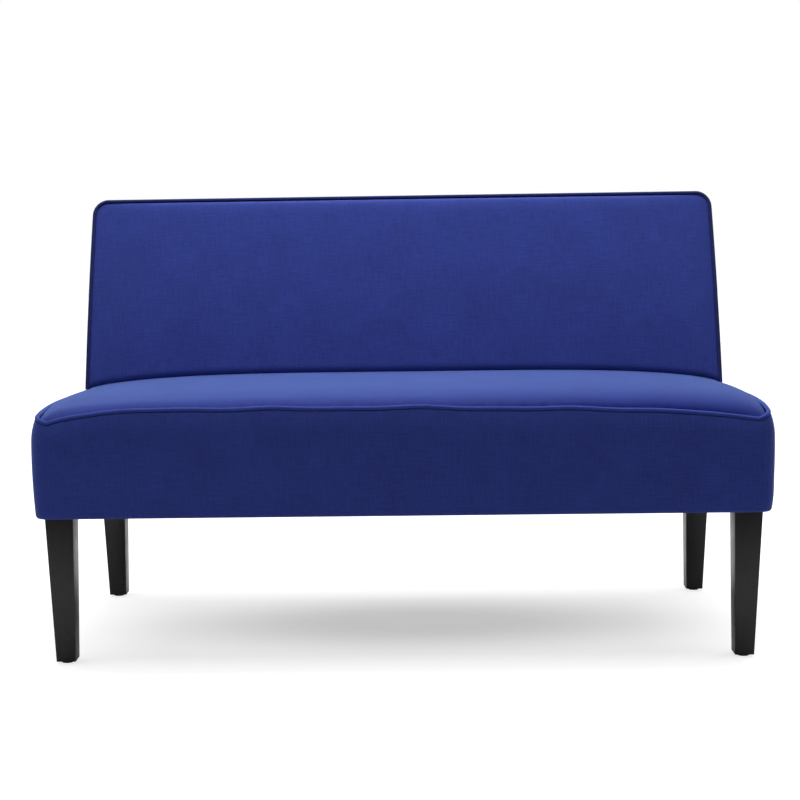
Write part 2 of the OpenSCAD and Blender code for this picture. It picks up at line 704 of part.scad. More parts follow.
// Padding on the outer faces of the rails, from inside the border to the wood
pad_shares = [1, 0.6, 0.25];
pad_levels = concat([for (f = pad_shares) base_z + f * (deck_z - base_z)],
    [base_z + border_curl + rest_gap, base_z]);
pad_ring = 2 * len(pad_levels);
function pad_point(b, k, rows) = let (s = station(b, rows), outer = k < pad_ring / 2,
    z = pad_levels[outer ? k : pad_ring - 1 - k],
    o = !outer ? soft_gap - frame_inset : z == base_z ? curl_o - soft_gap
        : pad_o(z, rim(s[0], s[1])),
    p = plan(s[0], s[1], o)) [p[0], min(p[1], rear_y(z) - cover_t - soft_gap), z];
module front_rail_padding() {
    color(WADDING) swept_solid(station_count(corner_steps), pad_ring,
        function (b, k) pad_point(b, k, corner_steps));
}
module left_rail_padding() {
    color(WADDING) swept_solid(border_rows - corner_steps, pad_ring,
        function (b, k) pad_point(b, k, border_rows));
}
module right_rail_padding() {
    color(WADDING) mirror([1, 0, 0]) swept_solid(border_rows - corner_steps, pad_ring,
        function (b, k) pad_point(b, k, border_rows));
}

// Seat cover: the top panel, the border that turns under the rails, and the piping
module seat_top_panel() {
    color(FABRIC) grid_solid(cols, seat_rows, 1, function (i, j, k)
        let (p = plan(i, j, panel_o)) [p[0], p[1], seat_z(col_u(i), p[1]) - (1 - k) * cover_t]);
}
border_shares = [1, 0.88, 0.76, 0.55, 0.34, 0.14];
border_walls = len(border_shares) + 1;
border_ring = border_walls + 2;
function border_outer(s, k) = let (top = rim(s[0], s[1]))
    k == 0 ? [-border_top_draw, top - welt_r - soft_gap]
    : k < border_walls - 1
        ? [border_o(border_shares[k]), base_z + (top - base_z) * border_shares[k]]
    : k == border_walls - 1 ? [border_o(border_curl / (top - base_z)), base_z + border_curl]
    : k == border_walls ? [curl_o, base_z - cover_t] : [bevel - leg_side_inset, base_z - cover_t];
function border_inner(s, k) = let (p = border_outer(s, k))
    k < border_walls ? [p[0] - cover_t, p[1]] : [p[0], base_z];
function border_point(b, k) = let (s = station(b, border_rows), outer = k < border_ring,
    q = outer ? border_outer(s, k) : border_inner(s, 2 * border_ring - 1 - k),
    p = plan(s[0], s[1], q[0])) [p[0], min(p[1], rear_y(q[1]) - cover_t), q[1]];
module seat_border() {
    color(FABRIC) swept_solid(station_count(border_rows), 2 * border_ring,
        function (b, k) border_point(b, k));
}
seat_welt_end = face_y(rim_z - welt_r) + welt_r;
function seat_welt_point(b, k) = let (s = station(b, seat_rows), a = -360 * k / welt_sides,
    p = plan(s[0], s[1], welt_o + welt_r * cos(a)))
    [p[0], min(p[1], seat_welt_end), rim(s[0], s[1]) + welt_r * sin(a)];
module seat_welt() {
    color(PIPING) swept_solid(station_count(seat_rows), welt_sides,
        function (b, k) seat_welt_point(b, k));
}

// Back suspension and padding
module back_webbing() {
    reach = frame_half - strap_w;
    color(WEBBING) for (n = [0:strap_count - 1]) {
        x = reach * (2 * n / (strap_count - 1) - 1);
        z1 = frame_top_z - bevel;
        run_x(x - strap_w / 2, x + strap_w / 2, [[frame_y(lower_rail_z0) - strap_t, lower_rail_z0],
            [frame_y(lower_rail_z0), lower_rail_z0], [frame_y(z1), z1], [frame_y(z1) - strap_t, z1]]);
    }
}
module back_burlap() {
    z1 = frame_top_z - bevel;
    color(BURLAP) run_x(-frame_half, frame_half,
        [[frame_y(lower_rail_z0) - webbing_y, lower_rail_z0],
            [frame_y(lower_rail_z0) - strap_t, lower_rail_z0], [frame_y(z1) - strap_t, z1],
            [frame_y(z1) - webbing_y, z1]]);
}
function back_front(i, j, inset) = let (p = outline(i, j, seat_line(i), back_panel_o - inset))
    [p[0], face_y(p[1]) - puff(i, j) + inset, p[1]];
function back_rear(i, j) = let (p = outline(i, j, seat_line(i), -cover_t - soft_gap))
    [p[0], frame_y(p[1]) - webbing_y - soft_gap, p[1]];
function back_side(i, j) = let (p = outline(i, j, seat_line(i), -cover_t - soft_gap))
    [p[0], face_y(p[1]) + welt_d, p[1]];
module back_foam() {
    color(FOAM) grid_solid(cols, back_rows, 2, function (i, j, k)
        k == 0 ? back_front(i, j, cover_t) : k == 1 ? back_side(i, j) : back_rear(i, j));
}

// Wadding between the frame of the back and its side and top borders
back_pad_rows = 9;
function back_pad_z(b) = deck_z + (frame_top_z - deck_z) * b / back_pad_rows;
function corner_drop(z) = let (r = back_corner_r, h = max(0, z - back_top_z + r))
    r - sqrt(pow(r, 2) - pow(h, 2));
function side_pad_x(z) = (z < rim_z ? min(side_x(rim_z), half_w + border_o(border_share(z, rim_z)))
    : side_x(z) - corner_drop(z)) - cover_t - soft_gap;
function side_pad_y(z) = max(front_y + seat_len, frame_y(z) - webbing_y) + soft_gap;
function side_pad_point(b, k) = let (z = back_pad_z(b))
    [k == 0 || k == 3 ? side_pad_x(z) : frame_half + soft_gap,
        k < 2 ? side_pad_y(z) : rear_y(z) - cover_t - soft_gap, z];
module back_side_padding(side) {
    color(WADDING) on_side(side) swept_solid(back_pad_rows, 4,
        function (b, k) side_pad_point(b, 3 - k));
}
module back_padding_top() {
    z0 = frame_top_z;
    z1 = back_top_z - cover_t - soft_gap;
    x1 = side_x(back_top_z) - back_corner_r;
    color(WADDING) run_x(-x1, x1, [[frame_y(z0) - webbing_y + soft_gap, z0],
        [rear_y(z0) - cover_t - soft_gap, z0], [rear_y(z1) - cover_t - soft_gap, z1],
        [frame_y(z1) - webbing_y + soft_gap, z1]]);
}

// Tack strips under the edges of the outside back: one along the top, one down each side
module back_tack_strips() {
    z1 = frame_top_z - bevel;
    z0 = z1 - tack_w;
    color(CARD) {
        tack_strip(-frame_half, frame_half, z0, z1);
        for (side = [-1, 1]) on_side(side)
            tack_strip(frame_half - tack_w, frame_half, rail_top, z0 - bevel);
    }
}
module tack_strip(x0, x1, z0, z1) {
    run_x(x0, x1, [[post_rear_y(z0), z0], [post_rear_y(z0) + tack_t, z0],
        [post_rear_y(z1) + tack_t, z1], [post_rear_y(z1), z1]]);
}

// Back cover
module back_front_panel() {
    color(FABRIC) grid_solid(cols, back_rows, 1, function (i, j, k)
        let (p = back_front(i, j, 0)) [p[0], p[1] + k * cover_t, p[2]]);
}
function boxing_point(b, k) = let (s = station(b, back_rows),
    p = outline(s[0], s[1], boxing_end_z, k < 2 ? 0 : -cover_t))
    [p[0], k == 0 || k == 3 ? face_y(p[1]) + welt_r + soft_gap : rear_y(p[1]) - cover_t, p[1]];
module back_boxing() {
    color(FABRIC) swept_solid(station_count(back_rows), 4, function (b, k) boxing_point(b, 3 - k));
}
function back_welt_point(b, k) = let (s = station(b, back_rows), a = -360 * k / welt_sides,
    p = outline(s[0], s[1], welt_end_z, back_welt_o + welt_r * cos(a)))
    [p[0], face_y(p[1]) + welt_r * sin(a), p[1]];
module back_welt() {
    color(PIPING) swept_solid(station_count(back_rows), welt_sides,
        function (b, k) back_welt_point(b, k));
}

// Outside back: one flat panel, as wide as the back above the seat and the border below it
lower_rows = 5;
hem_in = 3;
function outside_row(j) = j <= back_rows ? outline(cols, j, rim_z, 0)
    : let (f = 1 - (j - back_rows) / lower_rows, z = base_z - cover_t + (rim_z - base_z + cover_t) * f)
    [half_w + border_o(max(0, f)) - (f == 0 ? hem_in : 0), z];
module outside_back_panel() {
    color(FABRIC) grid_solid(2, back_rows + lower_rows, 1, function (i, j, k)
        let (p = outside_row(j)) [p[0] * (i - 1), rear_y(p[1]) - (1 - k) * cover_t, p[1]]);
}

// Dust cover under the frame, inside the turned edge of the border and notched for the legs
module dust_cover() {
    x1 = leg_outer - bevel;
    y0 = front_y + leg_side_inset;
    notch_y = [y0 - bevel, leg_rear_faces[1] - leg_top_d - bevel];
    color(BLACK) difference() {
        box([-x1, y0, base_z - dust_t], [x1, rear_rail_back, base_z]);
        for (side = [-1, 1], rear = [0, 1]) on_side(side)
            box([leg_inner - bevel, notch_y[rear], base_z - dust_t - bevel],
                [leg_outer, leg_rear_faces[rear] + bevel, base_z + bevel]);
    }
}

front_rail();
rear_rail();
side_rail(-1);  // left_side_rail
side_rail(1);  // right_side_rail
stretcher(-1);  // left_stretcher
stretcher(1);  // right_stretcher
corner_block(-1, 0);  // corner_block_front_left
corner_block(1, 0);  // corner_block_front_right
corner_block(-1, 1);  // corner_block_rear_left
corner_block(1, 1);  // corner_block_rear_right
end_upright(-1);  // left_end_upright
end_upright(1);  // right_end_upright
inner_upright(-1);  // left_inner_upright
inner_upright(1);  // right_inner_upright
back_top_rail();
back_lower_rail();
leg(-1, 0);  // leg_front_left
leg(1, 0);  // leg_front_right
leg(-1, 1);  // leg_rear_left
leg(1, 1);  // leg_rear_right
glide(-1, 0);  // glide_front_left
glide(1, 0);  // glide_front_right
glide(-1, 1);  // glide_rear_left
glide(1, 1);  // glide_rear_right
leg_bolts();
leg_tee_nuts();
frame_screws();
block_screws();
spring_clips();
spring_tie_wires();
seat_burlap();
seat_foam();
front_rail_padding();
left_rail_padding();
right_rail_padding();
back_webbing();
back_burlap();
back_foam();
back_side_padding(-1);  // back_padding_left
back_side_padding(1);  // back_padding_right
back_padding_top();
back_tack_strips();
seat_top_panel();
seat_border();
seat_welt();
back_front_panel();
back_boxing();
back_welt();
outside_back_panel();
dust_cover();
for (n = [1:spring_count]) seat_spring(n);
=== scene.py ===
import math

import bmesh
import bpy
import numpy as np
from bpy.props import FloatProperty, FloatVectorProperty, PointerProperty
from bpy.types import NodeSocket, Operator, Panel, PropertyGroup
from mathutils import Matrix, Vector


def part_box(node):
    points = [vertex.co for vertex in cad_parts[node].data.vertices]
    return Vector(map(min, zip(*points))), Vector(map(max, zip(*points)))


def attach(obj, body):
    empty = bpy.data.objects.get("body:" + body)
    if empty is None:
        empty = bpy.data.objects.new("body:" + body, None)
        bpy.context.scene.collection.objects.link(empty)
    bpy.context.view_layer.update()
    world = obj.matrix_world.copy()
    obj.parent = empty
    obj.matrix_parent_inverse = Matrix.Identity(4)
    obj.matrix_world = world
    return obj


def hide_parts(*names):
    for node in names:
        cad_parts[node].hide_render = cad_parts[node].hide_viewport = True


bl_info = {
    "name": "Armless loveseat",
    "version": (1, 0, 0),
    "blender": (4, 5, 0),
    "location": "3D View > Sidebar > Loveseat",
    "description": "Covers, pads and lights the frame of an armless loveseat",
    "category": "Object",
}

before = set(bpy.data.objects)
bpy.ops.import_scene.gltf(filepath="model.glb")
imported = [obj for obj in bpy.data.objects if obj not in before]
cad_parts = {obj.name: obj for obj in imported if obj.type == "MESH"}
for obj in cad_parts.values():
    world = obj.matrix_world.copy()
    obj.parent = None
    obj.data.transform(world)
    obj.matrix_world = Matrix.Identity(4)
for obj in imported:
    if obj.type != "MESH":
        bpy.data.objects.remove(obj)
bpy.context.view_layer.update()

# Sizes read off the frame, in metres
BORDER_LOW, BORDER_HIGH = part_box("seat_border")
RAIL_LOW, RAIL_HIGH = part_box("front_rail")
SPRING_LOW, SPRING_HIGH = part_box("seat_spring_5")
DUST_LOW, DUST_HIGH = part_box("dust_cover")
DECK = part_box("seat_burlap")[0][2]
BACK_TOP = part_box("back_boxing")[1][2]
BACK_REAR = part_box("outside_back_panel")[1][1]

# Spaces between the layers, in metres
SEAM_GAP = 0.0002  # beside a cord, and inside the cover
FOAM_GAP = 0.0012  # round the seat's foam, inside the border
REAR_GAP = 0.0035  # behind the seat's layers, to the frame of the back
BURLAP_SPACE = 0.0037  # in front of the back's frame, for its webbing and burlap
BURLAP_FACES = (0.0034, 0.0021)  # of the back's burlap, in front of the back's frame
PAD_SPACE = 0.0030  # the same, for the wadding at the sides and the top
INNER_GAP = 0.0006  # round the wadding, inside the cover
CLEAR = 0.0004  # round the wadding, to the wood
TOUCH = 0.0001  # of straps, threads and staples, to what they lie on
TOP_LIFT = 0.0015  # of the seat's top over its seam

# Thicknesses and steps, in metres
WIRE = 0.0038  # of the springs
BURLAP = 0.0014
THREAD_RADIUS = 0.0004
STAPLE_RADIUS = 0.0005
ARCH_SLOPE = 0.07606  # of the springs, behind their clips
ROLL = 0.0062  # how far the front edge of the seat rolls down into its seam
ROLL_REACH, ROLL_FADE = 0.030, 0.12  # from the seam, and from the front backwards
SLACK = 0.0006  # of the outside back
HEM = 0.020  # how far the border is turned under the rails
EDGE_STEP = 0.006  # of the cloth, from point to point round a slab
SHARP_FOLD = 60  # degrees; a fold beyond this is shaded as an edge
SOFT_FOLD = 50
BIAS = 0.7071  # turns the cloth of a cord by 45 degrees
# colour of the painted shade on the seat's cloth beside its front seam
PAINTED_SEAM_SHADE = (0.0, 0.0035, 0.065)

SIDES = ("left", "right")
CORNERS = [(end, side) for end in ("front", "rear") for side in SIDES]


# Properties


def number(name, description, default, low=0.0, high=2.0, **more):
    return FloatProperty(
        name=name, description=description, default=float(default), min=low, max=high, **more
    )


def length(*words):
    return number(*words, unit="LENGTH", precision=4)


def share(*words):
    return number(*words, 0.0, 1.0, subtype="FACTOR")


def colour(name, description, default, high=1.0, subtype="COLOR"):
    return FloatVectorProperty(
        name=name, description=description, default=default, min=0.0, max=high, subtype=subtype
    )


class LoveseatSeat(PropertyGroup):
    """Sizes of the seat's cover and cushion"""

    half_width: length("Half width", "From the middle to the swell of the side", BORDER_HIGH[0])
    front: length("Front plane", "Where the swell of the front lies", BORDER_LOW[1], -1.0, 0.0)
    base: length("Frame underside", "Height of the underside of the rails", RAIL_LOW[2])
    rim: length("Rim height", "Height of the piping's axis where it meets the back", 0.4355)
    corner: length("Corner radius", "Radius of the front corners seen from above", 0.032)
    rise: length("Front rise", "How far the front piping stands above the rim", 0.014)
    side_rise: length("Side rise", "How far the side piping stands above the rim", 0.0085)
    dip: length("Corner dip", "How far the piping dips at the front corners", 0.008)
    sag: length("Sag at the right", "How far the front piping hangs lower at one side", 0.0045)
    tilt: length("Lift at the right", "How far the cushion stands higher at one side", 0.0035)
    wave: length("Waviness", "How far the front piping strays from its curve", 0.0013)
    pull: length("Pull", "How far the piping is drawn up beside the left corner", 0.007)
    crown: length("Crown", "How far the seat stands above the front piping", 0.022)
    peak: length("Peak distance", "From the front to the highest line of the seat", 0.330)
    fall: length("Fall", "How far the seat falls from there to the back", 0.005)
    depth: length("Depth", "From the front to the plane of the back's piping", 0.526)
    draw_top: length("Draw at the top", "How far the border draws in to the piping", 0.008)
    draw_low: length("Draw below", "How far the border draws in to its lower edge", 0.007)
    swell: share("Swell level", "Height of the border's widest line as a share", 0.76)
    curl: length("Lower curl", "Height over which the border turns under the rails", 0.007)


class LoveseatBack(PropertyGroup):
    """Sizes of the back's cover and cushion"""

    inset: length("Inset", "How far the sides stand in from the seat's swell", 0.0085)
    taper: length("Taper", "How far the sides draw in towards the top", 0.0065)
    rake: number("Rake", "Slope of the front from upright", math.radians(12.4), subtype="ANGLE")
    top: length("Top edge", "Height of the boxing at the top of the back", BACK_TOP)
    rear: length("Rear plane", "Where the top of the outside back lies", BACK_REAR)
    lean: length("Lean", "How far the outside back leans out to its top", 0.026)
    pad: length("Padding", "Thickness of the padding in front of the frame", 0.050)
    puff: length("Puff", "How far the padded front bows out between its edges", 0.013)
    corner: length("Corner radius", "Radius of the top corners", 0.030)
    lift: length("Lift at the right", "How far the top edge climbs to one side", 0.0065)


class LoveseatCover(PropertyGroup):
    """Cloth, piping and stitches"""

    cloth: length("Cloth thickness", "Thickness of the cover fabric", 0.0015)
    piping: length("Piping radius", "Radius of the covered cord", 0.00375)
    piping_show: length("Piping stand", "How far it stands out past the border", 0.00125)
    thread: length("Thread pitch", "From thread to thread in the weave", 0.0011, 0.0002, 0.01)
    blue: colour("Blue", "Colour of the fabric", (0.0164, 0.0288, 0.169))
    light_blue: colour("Light blue", "Colour of lighter threads", (0.0252, 0.0440, 0.257))
    sheen: share("Sheen", "Strength of the soft sheen of the fibres", 0.25)
    # painted sheen: gain of the cloth's colour in a slanting view
    painted_sheen_gain: colour("Slant gain", "Gain in a slanting view", (1.58, 1.66, 1.12), 5.0, "NONE")
    stitch: length("Stitch length", "Length of a hand stitch", 0.007, 0.001, 0.02)
    stitch_pitch: length("Stitch pitch", "From stitch to stitch", 0.010, 0.002, 0.05)


class LoveseatFrame(PropertyGroup):
    """Legs, wood and fastenings"""

    lacquer: colour("Lacquer", "Colour of the lacquered legs", (0.006, 0.006, 0.0064))
    eased: length("Eased edge", "Radius of the eased edges of a leg", 0.0012)
    staple: length("Staple width", "Width of a staple in the dust cover", 0.010, 0.002, 0.02)
    staple_pitch: length("Staple pitch", "From staple to staple", 0.045, 0.01, 0.2)


class LoveseatStudio(PropertyGroup):
    """Camera, floor and lamps"""

    lens: number("Lens", "Focal length", 82.81, 1.0, 500.0, unit="CAMERA")
    camera_y: length("Camera distance", "Where the camera stands in front", -3.541, -10.0, 0.0)
    camera_x: length("Camera aside", "How far it stands to the right", 0.018, -1.0, 1.0)
    camera_z: length("Camera height", "Height of the camera", 0.781)
    key: number("Overhead light", "Power of the softbox", 136.0, 0.0, 1000.0)
    near: number("Near light", "Power of the lamp above the seat", 13.0, 0.0, 1000.0)
    fill: number("Front light", "Power of the front lamp", 12.0, 0.0, 1000.0)
    front: number("Room", "Brightness of the studio in front", 0.05)
    behind: number("Backdrop", "Brightness of the backdrop behind", 0.6)


PROPERTIES = {
    "loveseat_seat": LoveseatSeat,
    "loveseat_back": LoveseatBack,
    "loveseat_cover": LoveseatCover,
    "loveseat_frame": LoveseatFrame,
    "loveseat_studio": LoveseatStudio,
}


# Shape of the seat and the back


def take_sizes(form, group):
    """Copies the properties of a group to a form, under their own names."""
    for key in type(group).__annotations__:
        setattr(form, key, getattr(group, key))


def bell(x, width):
    return np.exp(-((x / width) ** 2))


def xyz(x, y, z):
    """Points from their coordinates, each of them an array or one number for all."""
    return np.stack(np.broadcast_arrays(x, y, z), -1)


class SeatForm:
    """Crown, rim and border of the seat. u runs from -1 to 1 across the width."""

    def __init__(self, scene):
        take_sizes(self, scene.loveseat_seat)
        cover = scene.loveseat_cover
        self.cloth, self.cord = cover.cloth, cover.piping
        self.cord_o = cover.piping_show - self.cord - self.draw_top
        self.panel_o = self.cord_o - self.cord - SEAM_GAP

    def arch(self, u):
        """Share of the crown across the width."""
        return np.clip(1 - np.clip(np.abs(u), 0, 1) ** 3.4, 0, None) ** 0.40

    def dome(self, t):
        """Height of the crown at a distance t from the front."""
        way = 1 - np.clip(t, 0, self.peak) / self.peak
        front = self.crown * np.clip(1 - way**4, 0, 1) ** 0.62
        back = self.crown - self.fall * ((t - self.peak) / (self.depth - self.peak)) ** 2
        return np.where(t < self.peak, front, back)

    def bow(self, u):
        return 1 - np.clip(np.abs(u), 0, 1) ** 4

    def climb(self, t):
        """Line of the side piping at a distance t from the front: a dip, then a rise."""
        way = np.clip(t / (self.depth - 0.060), 0, 1) ** 0.65
        return self.side_rise * np.sin(np.pi * way) - self.dip * (1 - way) ** 6

    def stray(self, u, t):
        """Unevenness of the hand-sewn front piping, gone a little behind it."""
        uneven = np.sin(15.7 * u + 0.9) + 0.5 * np.sin(29.0 * u)
        hang = -self.sag * np.clip(u + 0.1, 0, 1) ** 1.2
        hang = hang - 0.45 * self.sag * bell(u - 0.38, 0.2)
        way = np.clip(-(u + 0.30) / 0.62, 0, 1)
        pulled = way**2 * (3 - 2 * way) * (1 - np.abs(np.clip(u, -1, 1)) ** 20)
        fade = np.clip(1 - t / 0.10, 0, 1) ** 2
        return (self.wave * self.bow(u) * uneven + (hang + self.pull * pulled)) * fade

    def edge(self, u, t):
        bow = self.bow(u)
        return self.rise * bow + self.climb(t) * (1 - bow) + self.stray(u, t)

    def rim_at(self, u, turn, run):
        return self.rim + self.edge(u, self.corner * (1 - np.cos(turn)) + run)

    def top(self, u, y):
        t = y - self.front + self.panel_o
        arch = self.arch(u)
        side = self.tilt * np.clip(u, 0, 1) ** 1.2 * arch**0.4 * np.clip(t / self.peak, 0, 1)
        return self.rim + TOP_LIFT + self.edge(u, t) + arch * self.dome(t) + side

    def level(self, z, rim):
        """Height z as a share of the border's height, below a rim of this height."""
        return (z - self.base) / (rim - self.base)

    def border(self, f):
        """Offset of the border from its widest line, at a share f of its height."""
        low = -self.draw_low * (np.clip(self.swell - f, 0, None) / self.swell) ** 2
        high = -self.draw_top * (np.clip(f - self.swell, 0, None) / (1 - self.swell)) ** 2
        return low + high

    def inside(self, z, rim):
        """Offset of the space inside the border at a height z."""
        return self.border(np.clip(self.level(z, rim), 0, 1)) - self.cloth - SEAM_GAP

    def run_to(self, y):
        """Length of a side from the front corner's turn back to y."""
        return y - self.front - self.corner

    def plan(self, u, turn, run, o):
        """Point on the seat's outline, o outwards of the swell, turn and run from the front."""
        x = (self.half_width + (self.corner + o) * np.sin(turn) - self.corner) * u
        y = self.front + self.corner - (self.corner + o) * np.cos(turn) + run
        return x, y


class BackForm:
    """Outline and planes of the back."""

    def __init__(self, scene, seat):
        take_sizes(self, scene.loveseat_back)
        self.seat, self.slope = seat, math.tan(self.rake)
        self.half = seat.half_width - self.inset
        self.cord_o = scene.loveseat_cover.piping_show - seat.cord
        self.panel_o = self.cord_o - seat.cord - SEAM_GAP

    def up(self, z):
        return (z - self.seat.rim) / (self.top - self.seat.rim)

    def side(self, z):
        return self.half - self.taper * np.clip(self.up(z), 0, None) ** 2

    def face(self, z):
        return self.seat.front + self.seat.depth + (z - self.seat.rim) * self.slope

    def frame(self, z):
        return self.face(z) + self.pad

    def behind(self, z):
        return self.rear - self.lean + self.lean * self.seat.level(z, self.top)

    def lining(self, z):
        """Inner face of the outside back's cloth."""
        return self.behind(z) - self.seat.cloth

    def outline(self, u, turn, run, o):
        """Point on the back's outline, turn and run from the top."""
        z = self.top - self.corner + (self.corner + o) * np.cos(turn) - run
        x = (self.side(z) + (self.corner + o) * np.sin(turn) - self.corner) * u
        return x, z + self.climb(x, z)

    def climb(self, x, z):
        """How far the cover sits higher, growing to the right and to the top."""
        across = np.clip(x / self.half + 1, 0, 2) / 2
        return self.lift * across * np.clip(self.up(z), 0, 1.05) ** 2

    def bow(self, u, step):
        """Bow of the padded face; step is 0 at the top and 1 at the seat."""
        across = np.clip(1 - np.abs(u) ** 3, 0, None) ** 0.6
        down = np.clip(1 - (1 - step) ** 6, 0, None) ** 0.6
        return self.puff * across * down

    def run_to(self, z):
        """Length of a side from the top corner's turn down to z."""
        return self.top - self.corner - z

    def seat_line(self, u):
        """Height at which the padded face meets the seat."""
        x = (self.half + self.panel_o) * u
        u = x / (self.seat.half_width + self.seat.panel_o)
        return self.seat.top(u, self.face(self.seat.rim) - self.puff) + 0.0005


def forms(scene):
    seat = SeatForm(scene)
    return seat, BackForm(scene, seat)


def across(n):
    """Shares of the half width, closer together towards the ends."""
    return np.sin(np.pi / 2 * np.linspace(-1, 1, n + 1))


def rows(corner, straight):
    """Turn and progress of the rows of an outline with two rounded corners."""
    turn = np.concatenate([np.linspace(0, np.pi / 2, corner + 1), np.full(straight, np.pi / 2)])
    run = np.concatenate([np.zeros(corner + 1), np.linspace(0, 1, straight + 1)[1:]])
    return turn, run


def face_grid(n, corner, straight):
    """u, turn and progress on a grid that fills an outline."""
    turn, run = rows(corner, straight)
    return (*np.meshgrid(across(n), turn), np.meshgrid(across(n), run)[1])


def stations(corner, straight, front):
    """u, turn and progress along an edge: in along the left, over the front, out on the right."""
    turn, run = rows(corner, straight)
    u = across(front)
    ends, flat = np.ones(len(turn) - 1), np.zeros(len(u))
    return (
        np.concatenate([-ends, u, ends]),
        np.concatenate([turn[:0:-1], flat, turn[1:]]),
        np.concatenate([run[:0:-1], flat, run[1:]]),
    )


# Meshes


def linked(name, data):
    """A new object in the scene."""
    obj = bpy.data.objects.new(name, data)
    bpy.context.scene.collection.objects.link(obj)
    return obj


def piece_from(name, points, faces, uvs, sharp=SHARP_FOLD):
    """A closed piece from points, faces and, for each face, its corners on the cloth."""
    mesh = bpy.data.meshes.new(name)
    mesh.from_pydata(points.tolist(), [], [tuple(map(int, face)) for face in faces])
    layer = mesh.uv_layers.new(name="cloth")
    layer.data.foreach_set("uv", np.asarray(uvs, float).ravel())
    mesh.validate()
    mesh.shade_smooth()
    mesh.set_sharp_from_angle(angle=math.radians(sharp))
    outwards(mesh)
    return linked(name, mesh)


def outwards(mesh):
    """Turns every face of a closed piece outwards."""
    bm = bmesh.new()
    bm.from_mesh(mesh)
    bmesh.ops.recalc_face_normals(bm, faces=bm.faces)
    if bm.calc_volume(signed=True) < 0:
        bmesh.ops.reverse_faces(bm, faces=bm.faces)
    bm.to_mesh(mesh)
    bm.free()


def grid_quads(nv, nu):
    """Quads of a grid with nv by nu points."""
    j, i = np.meshgrid(np.arange(nv - 1), np.arange(nu - 1), indexing="ij")
    a = (j * nu + i).ravel()
    return np.stack([a, a + 1, a + nu + 1, a + nu], axis=1)


def edge_loop(nv, nu):
    """Indices round the edge of a grid."""
    front = np.arange(nu)
    right = np.arange(1, nv) * nu + nu - 1
    back = (nv - 1) * nu + np.arange(nu - 2, -1, -1)
    left = np.arange(nv - 2, 0, -1) * nu
    return np.concatenate([front, right, back, left])


def arc_length(points):
    steps = np.linalg.norm(np.diff(points, axis=0), axis=-1)
    return np.concatenate([[0], np.cumsum(steps)])


def strip(name, lines, sharp=SHARP_FOLD):
    """A closed solid between lines along it, given in their order round its section."""
    rings = np.stack(lines, 1)
    nb, nk = rings.shape[:2]
    b, k = (a.ravel() for a in np.meshgrid(np.arange(nb - 1), np.arange(nk), indexing="ij"))
    corners = ((b, k), (b + 1, k), (b + 1, k + 1), (b, k + 1))
    middle = rings[nb // 2]
    along = arc_length(rings.mean(axis=1))
    around = arc_length(np.concatenate([middle, middle[:1]]))
    faces = np.stack([i * nk + j % nk for i, j in corners], axis=1).tolist()
    uvs = np.stack([np.stack([along[i], around[j]], -1) for i, j in corners], axis=1)
    first = np.arange(nk)
    faces += [first, ((nb - 1) * nk + first)[::-1]]
    start, end = (np.stack([np.full(nk, far), around[:-1]], -1) for far in (0.0, along[-1]))
    uvs = np.concatenate([uvs.reshape(-1, 2), start, end[::-1]])
    return piece_from(name, rings.reshape(-1, 3), faces, uvs, sharp)


def slab(name, top, bottom, walls=()):
    """A closed solid between two grids of nv by nu points, with walls from top to bottom.

    Each wall is a loop of points like the grids' own edge."""
    nv, nu = top.shape[:2]
    quads, count = grid_quads(nv, nu), nv * nu
    x, y = np.meshgrid(arc_length(top[nv // 2]), arc_length(top[:, nu // 2]))
    flat = np.stack([x, y], -1).reshape(-1, 2)
    faces = [*quads, *(quads[:, ::-1] + count)]
    uvs = [*flat[quads.ravel()], *flat[quads[:, ::-1].ravel()]]
    edge = edge_loop(nv, nu)
    turn = len(edge)
    between = [2 * count + w * turn + np.arange(turn) for w in range(len(walls))]
    loops = [edge, *between, edge + count]
    points = np.concatenate([top.reshape(-1, 3), bottom.reshape(-1, 3), *walls])
    drop = 0.0
    for upper, lower in zip(loops[:-1], loops[1:]):
        next_drop = drop + float(np.linalg.norm(points[upper] - points[lower], axis=1).mean())
        for a in range(turn):
            c = (a + 1) % turn
            faces.append((upper[c], upper[a], lower[a], lower[c]))
            s, t = a * EDGE_STEP, (a + 1) * EDGE_STEP
            uvs += [(t, -drop), (s, -drop), (s, -next_drop), (t, -next_drop)]
        drop = next_drop
    return piece_from(name, points, faces, uvs)


def merged_copy(node):
    """An editable copy of a CAD node, with its flat faces merged."""
    bm = bmesh.new()
    bm.from_mesh(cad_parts[node].data)
    bmesh.ops.remove_doubles(bm, verts=bm.verts, dist=1e-5)
    bmesh.ops.dissolve_limit(bm, angle_limit=math.radians(1), verts=bm.verts, edges=bm.edges)
    return bm


def made_from(bm, name):
    """A new object from an edited copy."""
    mesh = bpy.data.meshes.new(name)
    bm.to_mesh(mesh)
    bm.free()
    return linked(name, mesh)


def join(name, objects):
    """One piece from several, with their meshes put together."""
    bm = bmesh.new()
    for obj in objects:
        bm.from_mesh(obj.data)
        bpy.data.objects.remove(obj)
    made = made_from(bm, name)
    made.data.shade_smooth()
    return made


def finish_piece(obj, material, slot, *nodes):
    """Gives a piece its material and its body, and hides the nodes that it stands for; its slot is
    not used.
    """
    obj.data.materials.clear()
    obj.data.materials.append(finish(material))
    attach(obj, "root")
    if nodes:
        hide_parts(*nodes)


def eased_copy(node, name, width, material, slot):
    """A copy of a CAD node with merged faces and softly rounded edges."""
    bm = merged_copy(node)
    fold = math.radians(35)
    sharp = [e for e in bm.edges if len(e.link_faces) == 2 and e.calc_face_angle(0) > fold]
    how = {"segments": 3, "profile": 0.5, "affect": "EDGES", "clamp_overlap": True}
    bmesh.ops.bevel(bm, geom=sharp, offset=width, **how)
    bmesh.ops.recalc_face_normals(bm, faces=bm.faces)
    obj = made_from(bm, name)
    obj.data.shade_smooth()
    obj.data.set_sharp_from_angle(angle=math.radians(40))
    finish_piece(obj, material, slot, node)


# Node trees


